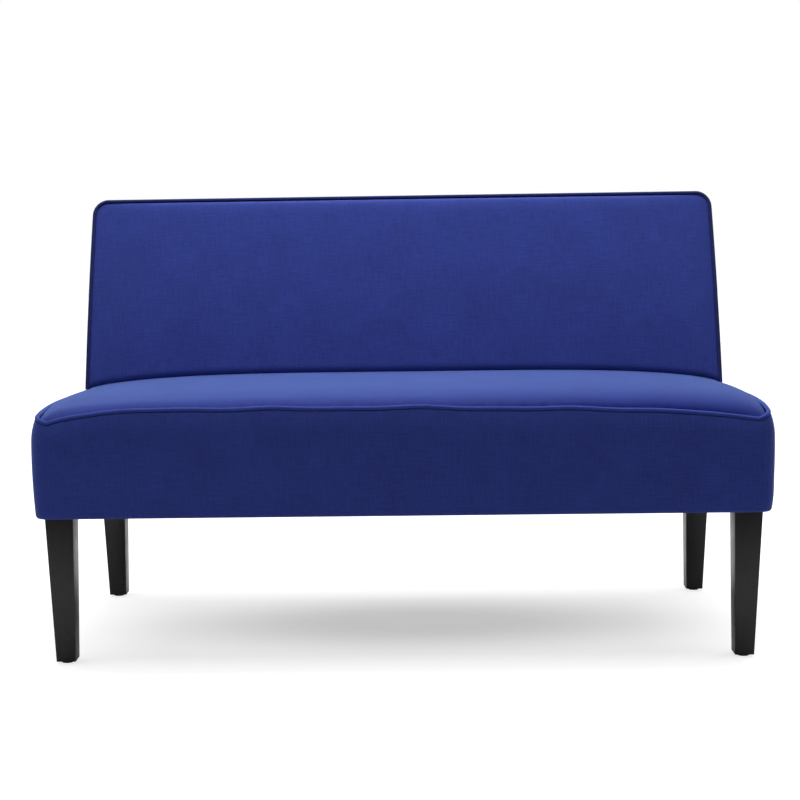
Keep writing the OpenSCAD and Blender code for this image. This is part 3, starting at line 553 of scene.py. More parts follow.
class Tree:
    """Short calls for the nodes of a tree."""

    def __init__(self, tree):
        self.tree = tree

    def node(self, kind, settings=(), **inputs):
        """A new node. Its inputs are named, with _ for a space, or numbered as i0, i1, ..."""
        node = self.tree.nodes.new(kind)
        for key, value in dict(settings).items():
            setattr(node, key, value)
        for key, value in inputs.items():
            numbered = key[0] == "i" and key[1:].isdigit()
            self.put(node.inputs[int(key[1:]) if numbered else key.replace("_", " ")], value)
        return node

    def get(self, kind, settings=(), **inputs):
        """The first output of a new node."""
        return self.node(kind, settings, **inputs).outputs[0]

    def put(self, socket, value):
        if isinstance(value, NodeSocket):
            self.tree.links.new(value, socket)
        else:
            socket.default_value = value

    def math(self, operation, a, b=0.0):
        return self.get("ShaderNodeMath", {"operation": operation}, i0=a, i1=b)

    def total(self, first, *others):
        for value in others:
            first = self.math("ADD", first, value)
        return first

    def spread(self, value, low, high, to_low=0.0, to_high=1.0, curve="LINEAR"):
        """Maps a value from one span to another."""
        limits = {"i1": low, "i2": high, "i3": to_low, "i4": to_high}
        kind = {"interpolation_type": curve}
        return self.get("ShaderNodeMapRange", kind, i0=value, **limits)

    def drawn(self, noise, to_low=0.0, to_high=1.0):
        """Draws out a noise, whose values mostly lie between 0.3 and 0.7."""
        return self.spread(noise, 0.3, 0.7, to_low, to_high)


class Shader(Tree):
    """A material with one Principled shader."""

    def __init__(self, name, **values):
        self.material = bpy.data.materials.new(name)
        self.material.use_nodes = True
        super().__init__(self.material.node_tree)
        self.shader = self.tree.nodes["Principled BSDF"]
        self.out(**values)

    def out(self, **values):
        for key, value in values.items():
            self.put(self.shader.inputs[key.replace("_", " ")], value)

    def place(self, scale=(1, 1, 1), shift=(0, 0, 0), source="Object"):
        start = self.node("ShaderNodeTexCoord").outputs[source]
        return self.get("ShaderNodeMapping", i0=start, Location=shift, Scale=scale)

    def noise(self, vector, scale, detail=2.0, rough=0.5):
        how = {"Vector": vector, "Scale": scale, "Detail": detail, "Roughness": rough}
        return self.node("ShaderNodeTexNoise", **how).outputs["Fac"]

    def blend(self, factor, a, b, mode="MIX"):
        node = self.node("ShaderNodeMix", {"data_type": "RGBA", "blend_type": mode})
        self.put(node.inputs["Factor"], factor)
        for key, tone in (("A", a), ("B", b)):
            self.put(node.inputs[key], tone if isinstance(tone, NodeSocket) else (*tone, 1.0))
        return node.outputs["Result"]

    def bump(self, height, strength, distance, normal=None):
        node = self.node("ShaderNodeBump", Height=height, Strength=strength, Distance=distance)
        if normal is not None:
            self.put(node.inputs["Normal"], normal)
        return node.outputs[0]


class Path(Tree):
    """A Geometry Nodes tree that makes a piece from a path, with its values as inputs."""

    def __init__(self, name, **values):
        super().__init__(bpy.data.node_groups.new(name, "GeometryNodeTree"))
        self.socket("Geometry", "NodeSocketGeometry")
        kinds = {float: "NodeSocketFloat", int: "NodeSocketInt"}
        self.values = {}
        for key, value in values.items():
            item = self.socket(key, kinds.get(type(value), "NodeSocketMaterial"))
            item.default_value = value
            self.values[item.identifier] = value
        self.socket("Geometry", "NodeSocketGeometry", "OUTPUT")
        self.given = self.tree.nodes.new("NodeGroupInput").outputs
        self.output = self.tree.nodes.new("NodeGroupOutput").inputs[0]
        self.line = self.get("GeometryNodeMeshToCurve", Mesh=self.given["Geometry"])

    def socket(self, name, kind, way="INPUT"):
        return self.tree.interface.new_socket(name, in_out=way, socket_type=kind)

    def circle(self, sides):
        how = {"Resolution": sides, "Radius": self.given["Radius"]}
        return self.get("GeometryNodeCurvePrimitiveCircle", **how)

    def sweep(self, line, ring):
        return self.get("GeometryNodeCurveToMesh", Curve=line, i1=ring, Fill_Caps=True)

    def measured(self, line, name):
        """Keeps the length along a curve as an attribute."""
        far = self.node("GeometryNodeSplineParameter").outputs["Length"]
        store = "GeometryNodeStoreNamedAttribute"
        return self.get(store, i0=line, Name=name, Value=far)

    def ends(self, length, axis):
        """The two ends of a short wire of this length, along one axis."""
        half = self.math("MULTIPLY", length, 0.5)
        values = (self.math("MULTIPLY", half, -1.0), half)
        return [self.get("ShaderNodeCombineXYZ", **{axis: v}) for v in values]

    def row(self, curve, turn=None):
        """Sets short wires, each along this curve, on the path at the given pitch."""
        how = {"Curve": self.line, "Length": self.given["Pitch"]}
        points = self.node("GeometryNodeCurveToPoints", {"mode": "LENGTH"}, **how).outputs
        how = {"Points": points["Points"], "Instance": self.sweep(curve, self.circle(6))}
        turn = points["Rotation"] if turn is None else turn
        self.end(self.get("GeometryNodeInstanceOnPoints", Rotation=turn, **how))

    def end(self, geometry):
        real = self.get("GeometryNodeRealizeInstances", Geometry=geometry)
        how = {"Geometry": real, "Material": self.given["Material"]}
        self.put(self.output, self.get("GeometryNodeSetMaterial", **how))

    def apply(self, points, name):
        """Runs the tree on a path and returns the result as a plain piece."""
        mesh = bpy.data.meshes.new(name + "_path")
        mesh.from_pydata(points.tolist(), [(i, i + 1) for i in range(len(points) - 1)], [])
        obj = linked(name + "_path", mesh)
        modifier = obj.modifiers.new("shape", "NODES")
        modifier.node_group = self.tree
        for key, value in self.values.items():
            modifier[key] = value
        seen = obj.evaluated_get(bpy.context.evaluated_depsgraph_get())
        made = bpy.data.meshes.new_from_object(seen)
        made.name = name
        bpy.data.objects.remove(obj)
        return linked(name, made)


# Materials


def scaled(base, factor):
    return [min(1, c * factor) for c in base]


def woven(name, dark, light, thread, sheen=0.0, painted_sheen_gain=None, rough=0.85, relief=0.0002):
    """Plain-weave cloth: crossing threads, slubs, soft mottling and a painted sheen that lightens
    the colour at a slant.
    """
    s = Shader(name, Roughness=rough, Sheen_Weight=sheen, Sheen_Roughness=0.35)
    s.out(Sheen_Tint=(0.48, 0.72, 1.0, 1.0), Specular_IOR_Level=0.2)
    where = s.place(source="UV")
    split = s.node("ShaderNodeSeparateXYZ", i0=where).outputs
    waves = [s.math("SINE", s.math("MULTIPLY", split[n], math.pi / thread)) for n in (0, 1)]
    crossing = s.math("MULTIPLY", *waves)
    over = s.math("POWER", s.math("ABSOLUTE", crossing), 0.5)
    slubs = [s.place(scale, source="UV") for scale in ((28, 330, 28), (330, 28, 28))]
    lift = s.total(*(s.drawn(s.noise(slub, 1.0, 4, 0.6), -0.5, 0.5) for slub in slubs))
    tone = s.total(
        s.spread(over, 0.0, 1.0, 0.22, 0.58),
        s.math("MULTIPLY", lift, 0.52),
        s.spread(crossing, -1, 1, -0.08, 0.08),
        s.drawn(s.noise(where, 260.0, 3, 0.7), -0.22, 0.22),
        s.drawn(s.noise(where, 12.0, 3), -0.15, 0.15),
    )
    cloth = s.blend(s.math("MINIMUM", s.math("MAXIMUM", tone, 0.0), 1.0), dark, light)
    if painted_sheen_gain:
        # painted sheen: the colour is raised where the cloth is seen at a slant
        slant = s.node("ShaderNodeLayerWeight", Blend=0.5).outputs["Facing"]
        # the seam attribute holds painted shade beside the seat's front seam: it darkens the
        # colour there and takes away the painted sheen, the sheen and the gloss
        seam = s.node("ShaderNodeAttribute", {"attribute_name": "seam"}).outputs["Fac"]
        bare = s.math("SUBTRACT", 1.0, seam)
        painted_sheen_tone = s.blend(1.0, cloth, painted_sheen_gain, "MULTIPLY")
        cloth = s.blend(s.math("MULTIPLY", s.spread(slant, 0.70, 0.93), bare), cloth, painted_sheen_tone)
        cloth = s.blend(s.math("MULTIPLY", seam, 0.93), cloth, PAINTED_SEAM_SHADE)
        s.out(Sheen_Weight=s.math("MULTIPLY", bare, sheen))
        s.out(Specular_IOR_Level=s.math("MULTIPLY", bare, 0.2))
    threads = s.bump(over, 0.55, relief)
    fuzz = s.bump(s.noise(where, 5200.0, 2), 0.25, relief, threads)
    s.out(Base_Color=cloth, Normal=s.bump(lift, 0.30, relief * 1.5, fuzz))


def lacquered(name, base):
    """Satin black lacquer over a faint wood grain."""
    s = Shader(name, Specular_IOR_Level=0.3, Coat_Weight=0.12, Coat_Roughness=0.12)
    grain = s.noise(s.place((140, 140, 6)), 1.0, 5, 0.6)
    scuff = s.noise(s.place((300, 300, 300)), 1.0, 4, 0.7)
    rough = s.drawn(s.noise(s.place(), 26.0, 3), 0.26, 0.36)
    tone = s.blend(s.spread(grain, 0.35, 0.7), base, scaled(base, 1.7))
    relief = s.bump(grain, 0.18, 0.0003)
    s.out(Base_Color=tone, Roughness=rough, Normal=s.bump(scuff, 0.04, 0.0001, relief))


def sawn_wood(name, along):
    """Bare softwood with grain along one axis."""
    s = Shader(name, Roughness=0.72)
    light, dark = (0.62, 0.45, 0.27), (0.42, 0.27, 0.14)
    scale = [46.0, 46.0, 46.0]
    scale[along] = 1.6
    where = s.place(scale)
    kind = {"wave_type": "RINGS", "rings_direction": "XYZ"[along]}
    how = {"Vector": where, "Scale": 0.9, "Distortion": 5.0, "Detail": 3.0}
    rings = s.node("ShaderNodeTexWave", kind, **how).outputs["Fac"]
    fine = s.noise(s.place([c * 7 for c in scale]), 1.0, 4)
    bent = s.math("MULTIPLY", s.noise(where, 0.8, 3), 0.4)
    tone = s.blend(s.math("ADD", s.math("MULTIPLY", rings, 0.6), bent), light, dark)
    tone = s.blend(s.spread(fine, 0.35, 0.65, 0.0, 0.25), tone, dark)
    s.out(Base_Color=tone, Normal=s.bump(fine, 0.3, 0.0004))


def metal(name, base, rough):
    """Drawn or plated steel with faint streaks."""
    s = Shader(name, Metallic=1.0)
    streak = s.noise(s.place((1, 0.08, 1)), 400.0, 3)
    dull = s.drawn(s.noise(s.place(), 60.0, 3))
    dim = s.drawn(streak, rough - 0.07, rough + 0.1)
    s.out(Base_Color=s.blend(dull, base, scaled(base, 0.78)), Roughness=dim)
    s.out(Normal=s.bump(streak, 0.08, 0.0001))


def spongy(name, base, cell, relief):
    """Wadding: pores and slight clouding."""
    s = Shader(name, Roughness=0.95)
    pores = s.node("ShaderNodeTexVoronoi", Vector=s.place(), Scale=1 / cell).outputs["Distance"]
    tone = s.blend(s.drawn(s.noise(s.place(), 22.0, 4)), base, scaled(base, 0.86))
    tone = s.blend(s.spread(pores, 0.0, 0.7, 0.25, 0.0), tone, scaled(base, 0.5))
    s.out(Base_Color=tone, Normal=s.bump(pores, 0.6, relief))


def plain_card(name, base, rough, grain):
    """Card, moulded plastic or spun cloth with a fine random grain."""
    s = Shader(name, Roughness=rough)
    fine = s.noise(s.place(), grain, 4, 0.6)
    cloud = s.drawn(s.noise(s.place(), 18.0, 3), 0.0, 0.3)
    tone = s.blend(s.drawn(fine), scaled(base, 0.75), scaled(base, 1.25))
    tone = s.blend(cloud, tone, scaled(base, 0.8))
    s.out(Base_Color=tone, Normal=s.bump(fine, 0.3, 0.0002))


def make_finishes(scene):
    cover, wood = scene.loveseat_cover, scene.loveseat_frame
    blues = tuple(cover.blue), tuple(cover.light_blue)
    look = cover.thread, cover.sheen, tuple(cover.painted_sheen_gain)
    jute = {"rough": 0.95, "relief": 0.0006}
    woven("royal_blue_cloth", *blues, *look)
    # the seat's cord: a lighter copy of the blue cloth, a painted highlight on the cord
    woven("piping_cloth", *(scaled(tone, 1.15) for tone in blues), *look)
    # the back's cord: a darker copy of the blue cloth, painted shade on the cord
    woven("back_piping_cloth", *(scaled(tone, 0.40) for tone in blues), cover.thread)
    woven("jute_burlap", (0.24, 0.17, 0.09), (0.46, 0.36, 0.22), 0.0022, **jute)
    woven("jute_webbing", (0.20, 0.17, 0.12), (0.40, 0.35, 0.26), 0.0028, **jute)
    lacquered("black_lacquer", tuple(wood.lacquer))
    for axis, name in enumerate(("rail_wood", "stretcher_wood", "upright_wood")):
        sawn_wood(name, axis)
    metal("spring_steel", (0.36, 0.37, 0.38), 0.38)
    metal("zinc_plate", (0.62, 0.63, 0.64), 0.3)
    spongy("polyester_wadding", (0.84, 0.84, 0.82), 0.006, 0.0012)
    plain_card("tack_card", (0.42, 0.34, 0.24), 0.9, 900.0)
    plain_card("glide_plastic", (0.02, 0.02, 0.021), 0.45, 1500.0)
    plain_card("black_cambric", (0.018, 0.018, 0.019), 0.95, 1400.0)
    plain_card("blue_thread", blues[0], 0.8, 3000.0)


def finish(name):
    """One of the object's materials, all made at the first call and shared by its pieces."""
    if "royal_blue_cloth" not in bpy.data.materials:
        make_finishes(bpy.context.scene)
    return bpy.data.materials[name]


def paint(material, *nodes):
    """Gives CAD nodes that keep showing their material."""
    for node in nodes:
        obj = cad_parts[node]
        for slot in obj.material_slots:
            slot.link = "OBJECT"
            slot.material = finish(material)
        if not obj.material_slots:
            obj.data.materials.append(finish(material))


# Operators


class FromForms:
    """An operator that builds its pieces from the forms of the seat and the back."""

    def execute(self, context):
        self.build(*forms(context.scene))
        return {"FINISHED"}


def covered(obj, *nodes):
    finish_piece(obj, "royal_blue_cloth", "blue_fabric", *nodes)


class SeatCushion(FromForms, Operator):
    """Crowned seat cushion in its cover, tucked in under the piping"""

    bl_idname = "loveseat.seat_cushion"
    bl_label = "Seat cushion"

    def build(self, seat, back):
        U, T, R = face_grid(150, 10, 62)
        R = R * seat.run_to(back.frame(seat.rim) - REAR_GAP)
        x, y = seat.plan(U, T, R, seat.panel_o)
        top = xyz(x, y, seat.top(U, y))
        beside = np.exp(-3 * (seam_distance(top) / ROLL_REACH) ** 2)
        top[..., 2] -= ROLL * bell(y - seat.front, ROLL_FADE) * beside
        low_x, low_y = seat.plan(U, T, R, seat.inside(DECK, seat.rim) - FOAM_GAP)
        bottom = xyz(low_x, low_y, deck_height(low_x, low_y) + 0.0016)
        edge = edge_loop(*U.shape)
        high, low = (grid.reshape(-1, 3)[edge, 2] for grid in (top, bottom))
        around = [part.ravel()[edge] for part in (U, T, R)]
        walls = []
        for f in (0.72, 0.45, 0.2):
            z = low + (high - low) * f
            o = seat.inside(z, seat.rim_at(*around)) - FOAM_GAP
            walls.append(xyz(*seat.plan(*around, o), z))
        obj = slab("seat_cushion", top, bottom, walls)
        # painted shade beside the front seam, where the cushion rolls into it, kept as the seam
        # attribute
        shade = painted_seam_shade(U, np.clip(y - seat.front + seat.panel_o, 0, None)).ravel()
        seam_painted_shade = np.ones(len(obj.data.vertices))
        seam_painted_shade[: shade.size] = shade
        obj.data.attributes.new("seam", "FLOAT", "POINT").data.foreach_set("value", seam_painted_shade)
        covered(obj, "seat_top_panel", "seat_foam")


def seam_distance(grid):
    """Distance of each point of a padded face from its front and side edges."""
    edge = grid.reshape(-1, 3)[edge_loop(*grid.shape[:2])]
    edge = edge[edge[:, 1] < edge[:, 1].max() - 0.03][::3, :2]
    flat = grid.reshape(-1, 3)[:, None, :2]
    parts = np.array_split(flat, len(flat) // 4096 + 1)
    far = [np.sqrt(((part - edge) ** 2).sum(-1)).min(axis=1) for part in parts]
    return np.concatenate(far).reshape(grid.shape[:2])


def painted_seam_shade(u, behind):
    """Painted shade on the seat's cloth at a distance behind its front seam, where the cushion
    rolls into it, deeper on the right.
    """
    reach, crease = 0.022 + 0.008 * u, 0.006
    shade = np.exp(-np.sqrt(behind / reach)) + 0.2 * np.exp(-behind / crease)
    return np.clip(shade * (1 + 0.6 * np.clip(u, 0, 1)) * (1 - 0.5 * u**8), 0, 1)


def deck_height(x, y):
    """Top of the springs' burlap: flat at the rails and arched between the clips."""
    flat, ease_over, over_rails, over_springs = 0.020, 0.030, 0.0015, 0.002
    low, high = SPRING_LOW[1] + WIRE / 2, SPRING_HIGH[1] - WIRE / 2
    from_end = np.clip(np.minimum(y - low, high - y), 0, None)
    rise = np.minimum(SPRING_HIGH[2] - SPRING_LOW[2] - WIRE, from_end * ARCH_SLOPE)
    ease = np.clip((RAIL_HIGH[0] - flat - np.abs(x)) / ease_over, 0, 1)
    bars = SPRING_LOW[2] + WIRE
    return DECK + over_rails + ease * np.clip(bars + rise + over_springs - DECK, 0, None)


class SeatBorder(FromForms, Operator):
    """Border band of the seat, bulging at its sides and turned under the rails"""

    bl_idname = "loveseat.seat_border"
    bl_label = "Seat border"

    def build(self, seat, back):
        u, turn, run = stations(12, 90, 150)
        rim = seat.rim_at(u, turn, run * seat.run_to(back.lining(seat.rim)))
        pucker = (1 + np.sin(60 * u + 2 * np.sin(11 * u))) * (0.35 + 0.65 * np.abs(u) ** 3)
        seam = (seat.cord + SEAM_GAP) / (rim - seat.base)
        outer = [
            (-seat.draw_top - 0.0022, rim - 0.0026),
            (-seat.draw_top - 0.0003, rim - seat.cord - INNER_GAP),
        ]
        for f in np.concatenate([np.linspace(1, 0.55, 16), np.linspace(0.5, 0.05, 12)]):
            z = seat.base + (f * (1 - seam) - 0.004) * (rim - seat.base)
            bumps = 0.0005 * pucker * bell(f - 0.17, 0.12)
            outer.append((seat.border(seat.level(z, rim)) + bumps, z))
        curl, turned = seat.base + seat.curl, 0.0055
        start = seat.border(seat.level(curl, rim))
        for a in np.linspace(0, np.pi / 2, 6):
            z = curl - (seat.curl + seat.cloth) * np.sin(a)
            outer.append((start - turned * (1 - np.cos(a)), z))
        # the cloth is thinner where it is turned under the rails
        thin, lift = 0.4 * seat.cloth, 0.6 * seat.cloth
        inner = [(o - seat.cloth, z) for o, z in outer[:-3]]
        inner += [(o - thin, np.maximum(z + lift, seat.base)) for o, z in outer[-3:]]
        outer.append((-HEM, seat.base - seat.cloth))
        inner.append((-HEM, seat.base))
        lines = []
        for o, z in outer + inner[::-1]:
            end = seat.run_to(back.lining(z))
            lines.append(xyz(*seat.plan(u, turn, run * end, o), z))
        covered(strip("seat_border_band", lines), "seat_border")


class Piping(FromForms, Operator):
    """Covered cords sewn round the seat and round the face of the back"""

    bl_idname = "loveseat.piping"
    bl_label = "Piping"

    def build(self, seat, back):
        u, turn, run = stations(14, 80, 160)
        run = run * seat.run_to(back.face(seat.rim - seat.cord) + seat.cord)
        path = xyz(*seat.plan(u, turn, run, seat.cord_o), seat.rim_at(u, turn, run))
        piped("seat_piping", path, seat.cord, "seat_welt", "piping_cloth")
        u, turn, run = stations(14, 70, 160)
        run = run * back.run_to(seat.rim + seat.cord + 0.0005)
        x, z = back.outline(u, turn, run, back.cord_o)
        path = xyz(x, back.face(z), z)
        piped("back_piping", path, seat.cord, "back_welt", "back_piping_cloth")


def piped(name, path, radius, node, cloth):
    """A covered cord along a path, with its run and turn kept for the weave."""
    g = Path("piping_sweep", Radius=radius, Sides=20, Material=finish(cloth))
    line, ring = g.measured(g.line, "run"), g.measured(g.circle(g.given["Sides"]), "around")
    g.end(g.sweep(line, ring))
    obj = g.apply(path, name)
    add_cloth_uv(obj.data)
    obj.data.shade_smooth()
    outwards(obj.data)
    finish_piece(obj, cloth, "blue_piping", node)


def add_cloth_uv(mesh):
    """Turns the run and around attributes into a UV map on the bias of the cloth."""
    index = np.zeros(len(mesh.loops), dtype=int)
    mesh.loops.foreach_get("vertex_index", index)
    values = []
    for name in ("run", "around"):
        value = np.zeros(len(mesh.vertices))
        mesh.attributes[name].data.foreach_get("value", value)
        values.append(value[index])
    u, v = values
    layer = mesh.uv_layers.new(name="cloth")
    layer.data.foreach_set("uv", np.stack([u + v, v - u], -1).ravel() * BIAS)


class BackCushion(FromForms, Operator):
    """Padded front of the back, bowed between its pipings and tucked in at the seat"""

    bl_idname = "loveseat.back_cushion"
    bl_label = "Back cushion"

    def build(self, seat, back):
        U, T, R = face_grid(150, 10, 56)
        tuck, reach = 0.004, 0.005
        down = back.run_to(back.seat_line(U))
        x, z = back.outline(U, T, R * down, back.panel_o)
        bend = 4 / 11  # the rounded top's share of the way down
        step = np.where(R > 0, bend + (1 - bend) * R, T / (np.pi / 2) * bend)
        tucked = tuck * bell((1 - R) * down, reach) * (R > 0)
        front = xyz(x, back.face(z) - back.bow(U, step) + tucked, z)
        x, z = back.outline(U, T, R * down, -seat.cloth - 0.0008)
        rear = xyz(x, back.frame(z) - BURLAP_SPACE, z)
        side = xyz(x, back.face(z) + 2 * seat.cord, z).reshape(-1, 3)[edge_loop(*U.shape)]
        obj = slab("back_cushion", front, rear, [side])
        covered(obj, "back_front_panel", "back_foam")


class BackBoxing(FromForms, Operator):
    """Boxing over the sides and top of the back, and the flat outside back"""

    bl_idname = "loveseat.back_boxing"
    bl_label = "Boxing and outside back"

    def build(self, seat, back):
        u, turn, run = stations(12, 60, 150)
        run = run * back.run_to(seat.rim - seat.cord)
        shares, bulge = np.linspace(0, 1, 13), 0.0009
        lines = []
        for order, depth in ((shares, 0.0), (shares[::-1], seat.cloth)):
            for f in order:
                x, z = back.outline(u, turn, run, bulge * np.sin(np.pi * f) - depth)
                near, far = back.face(z) + seat.cord + SEAM_GAP, back.lining(z)
                lines.append(xyz(x, near + (far - near) * f, z))
        covered(strip("back_boxing_band", lines), "back_boxing")
        self.outside(seat, back)

    def outside(self, seat, back):
        turn, run = rows(12, 40)
        z = back.top - back.corner + back.corner * np.cos(turn) - run * back.run_to(seat.rim)
        x = back.side(z) + back.corner * np.sin(turn) - back.corner
        low = np.linspace(seat.rim, seat.base - seat.cloth, 26)[1:]
        low_x = seat.half_width + seat.border(np.clip(seat.level(low, seat.rim), 0, 1))
        turned, foot = 0.003, seat.base + 0.004
        low_x = low_x - np.where(low < foot, turned, 0.0)
        w = np.linspace(-1, 1, 91)
        x, z = np.outer(np.concatenate([x, low_x]), w), np.concatenate([z, low])[:, None]
        z = z + back.climb(x, z)
        y = back.behind(z)
        slack = SLACK * np.sin(x * 9) * np.cos(z * 13) - SLACK
        outer = xyz(x, y + np.where(np.abs(w) < 1, slack, 0), z)
        covered(slab("outside_back_cloth", outer, xyz(x, y - seat.cloth, z)), "outside_back_panel")


class Stitches(FromForms, Operator):
    """Hand stitches that close the sides of the outside back"""

    bl_idname = "loveseat.stitches"
    bl_label = "Stitches"

    def build(self, seat, back):
        cover = bpy.context.scene.loveseat_cover
        size = {"Pitch": cover.stitch_pitch, "Length": cover.stitch, "Radius": THREAD_RADIUS}
        g = Path("stitch_row", **size, Material=finish("blue_thread"))
        start, stop = g.ends(g.given["Length"], "Z")
        rise = g.get("ShaderNodeCombineXYZ", X=g.given["Radius"])
        add = ("ShaderNodeVectorMath", {"operation": "ADD"})
        arc = g.node(
            "GeometryNodeCurvePrimitiveBezierSegment",
            Resolution=6,
            Start=start,
            Start_Handle=g.get(*add, i0=start, i1=rise),
            End_Handle=g.get(*add, i0=stop, i1=rise),
            End=stop,
        )
        g.row(arc.outputs[0])
        inset, end = 0.0035, 0.01
        high = np.linspace(seat.rim + end, back.top - back.corner - end, 60)
        low = np.linspace(seat.base + 0.012, seat.rim - end, 30)
        low_half = seat.half_width + seat.border(seat.level(low, seat.rim))
        made = []
        for side in (-1, 1):
            for z, half in ((high, back.side(high)), (low, low_half)):
                path = xyz(side * (half - inset), back.behind(z) + TOUCH, z)
                made.append(g.apply(path, f"stitch_{len(made)}"))
        finish_piece(join("outside_back_stitches", made), "blue_thread", "blue_piping")


class Legs(Operator):
    """Tapered legs in black lacquer, on their glides"""

    bl_idname = "loveseat.legs"
    bl_label = "Legs"

    def execute(self, context):
        width = context.scene.loveseat_frame.eased
        for end, side in CORNERS:
            name = f"{end}_{side}_leg"
            eased_copy(f"leg_{end}_{side}", name, width, "black_lacquer", "black_legs")
            paint("glide_plastic", f"glide_{end}_{side}")
        return {"FINISHED"}


class WoodAndSteel(Operator):
    """Wooden frame, springs and fasteners inside the cover"""

    bl_idname = "loveseat.wood_and_steel"
    bl_label = "Wood and steel"

    def execute(self, context):
        paint("rail_wood", "front_rail", "rear_rail", "back_top_rail", "back_lower_rail")
        paint("rail_wood", *(f"corner_block_{end}_{side}" for end, side in CORNERS))
        for side in SIDES:
            paint("stretcher_wood", f"{side}_side_rail", f"{side}_stretcher")
            paint("upright_wood", f"{side}_end_upright", f"{side}_inner_upright")
        paint("zinc_plate", "leg_bolts", "leg_tee_nuts", "frame_screws", "block_screws")
        springs = [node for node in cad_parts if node.startswith("seat_spring")]
        paint("spring_steel", *springs, "spring_clips", "spring_tie_wires")
        paint("tack_card", "back_tack_strips")
        return {"FINISHED"}


class InnerPadding(FromForms, Operator):
    """Burlap, webbing and wadding between the frame and the cover"""

    bl_idname = "loveseat.inner_padding"
    bl_label = "Inner padding"

    def build(self, seat, back):
        self.seat_burlap(seat, back)
        self.rail_wadding(seat, back)
        self.back_burlap(back)
        self.straps(back)
        self.back_wadding(seat, back)

    def wadding(self, name, node, lines):
        obj = strip(name, lines, SOFT_FOLD)
        finish_piece(obj, "polyester_wadding", "wadding", node)

    def seat_burlap(self, seat, back):
        U, T, R = face_grid(60, 6, 40)
        depth = seat.run_to(back.frame(seat.rim) - REAR_GAP)
        x, y = seat.plan(U, T, R * depth, seat.inside(DECK, seat.rim) - 0.001)
        z = deck_height(x, y)
        obj = slab("seat_burlap_sheet", xyz(x, y, z), xyz(x, y, z - BURLAP))
        finish_piece(obj, "jute_burlap", "burlap", "seat_burlap")

    def rail_wadding(self, seat, back):
        under = -0.0126  # where the wadding ends under the curl of the border
        quarter = seat.base + 0.25 * (DECK - seat.base)
        foot = (seat.base + seat.curl + INNER_GAP, seat.base + CLEAR)
        levels = [*np.linspace(DECK, quarter, 9), *foot]
        inner = RAIL_HIGH[0] - seat.half_width + CLEAR
        u, turn, run = stations(6, 6, 80)
        keep = np.concatenate([[True], (np.diff(u) != 0) | (np.diff(turn) != 0)])
        end = seat.run_to(back.lining(seat.base) - INNER_GAP)
        ones, run = np.ones(41), np.linspace(CLEAR, end, 41)
        paths = {
            "front": (u[keep], turn[keep], np.zeros(keep.sum())),
            "left": (-ones, ones * np.pi / 2, run),
            "right": (ones, ones * np.pi / 2, run),
        }
        for side, path in paths.items():
            rim = seat.rim_at(*path)
            outer = [seat.inside(z, rim) - CLEAR for z in levels[:-1]] + [under]
            around = [*zip(outer, levels), (inner, levels[-1]), (inner, levels[0])]
            lines = [xyz(*seat.plan(*path, o), z) for o, z in around]
            self.wadding(f"{side}_rail_wadding", f"{side}_rail_padding", lines)

    def back_burlap(self, back):
        low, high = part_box("back_burlap")
        X, Z = np.meshgrid(np.linspace(low[0], high[0], 90), np.linspace(low[2], high[2], 40))
        front, rear = (xyz(X, back.frame(Z) - gap, Z) for gap in BURLAP_FACES)
        obj = slab("back_burlap_sheet", front, rear)
        finish_piece(obj, "jute_burlap", "burlap", "back_burlap")

    def straps(self, back):
        low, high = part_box("back_webbing")
        z = np.linspace(low[2], high[2], 60)
        half, thick = 0.025, 0.0016
        section = ((-1, 0), (-1, 1), (-0.9, 1.2), (0.9, 1.2), (1, 1), (1, 0))
        made = []
        for n in range(9):
            x, y = (high[0] - half) * (n / 4 - 1), back.frame(z) - TOUCH
            lines = [xyz(x + half * side, y - thick * out, z) for side, out in section]
            made.append(strip(f"strap_{n}", lines))
        finish_piece(join("back_webbing_straps", made), "jute_webbing", "webbing", "back_webbing")

    def back_wadding(self, seat, back):
        near = RAIL_HIGH[0] + 0.0005
        for sign, side in zip((-1, 1), SIDES):
            node = f"back_padding_{side}"
            low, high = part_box(node)
            z = np.linspace(low[2] + CLEAR, high[2] - CLEAR, 40)
            above = np.clip(z - back.top + back.corner, 0, None)
            drop = back.corner - np.sqrt(np.clip(back.corner**2 - above**2, 0, None))
            swell = seat.half_width + seat.border(seat.level(z, seat.rim))
            far = np.minimum(back.side(z) - drop, swell) - seat.cloth - INNER_GAP
            front = np.maximum(back.frame(z), back.frame(seat.rim)) - PAD_SPACE
            rear = back.lining(z) - INNER_GAP
            bulge = (far + 0.0002, (front + rear) / 2)
            section = ((near, front), (far, front), bulge, (far, rear), (near, rear))
            lines = [xyz(sign * x, y, z) for x, y in section]
            self.wadding(f"back_wadding_{side}", node, lines)
        low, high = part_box("back_padding_top")
        x = np.linspace(low[0] + 0.0005, high[0] - 0.0005, 60)
        foot, head = low[2] + 0.0003, high[2] - 0.0003
        bend = head - 0.002
        lines = []
        for z, f in ((foot, 0), (foot, 1), (bend, 1), (head, 0.9), (head, 0.1), (bend, 0)):
            front, rear = back.frame(z) - PAD_SPACE, back.lining(z) - INNER_GAP
            lines.append(xyz(x, front + (rear - front) * f, z))
        self.wadding("back_wadding_top", "back_padding_top", lines)


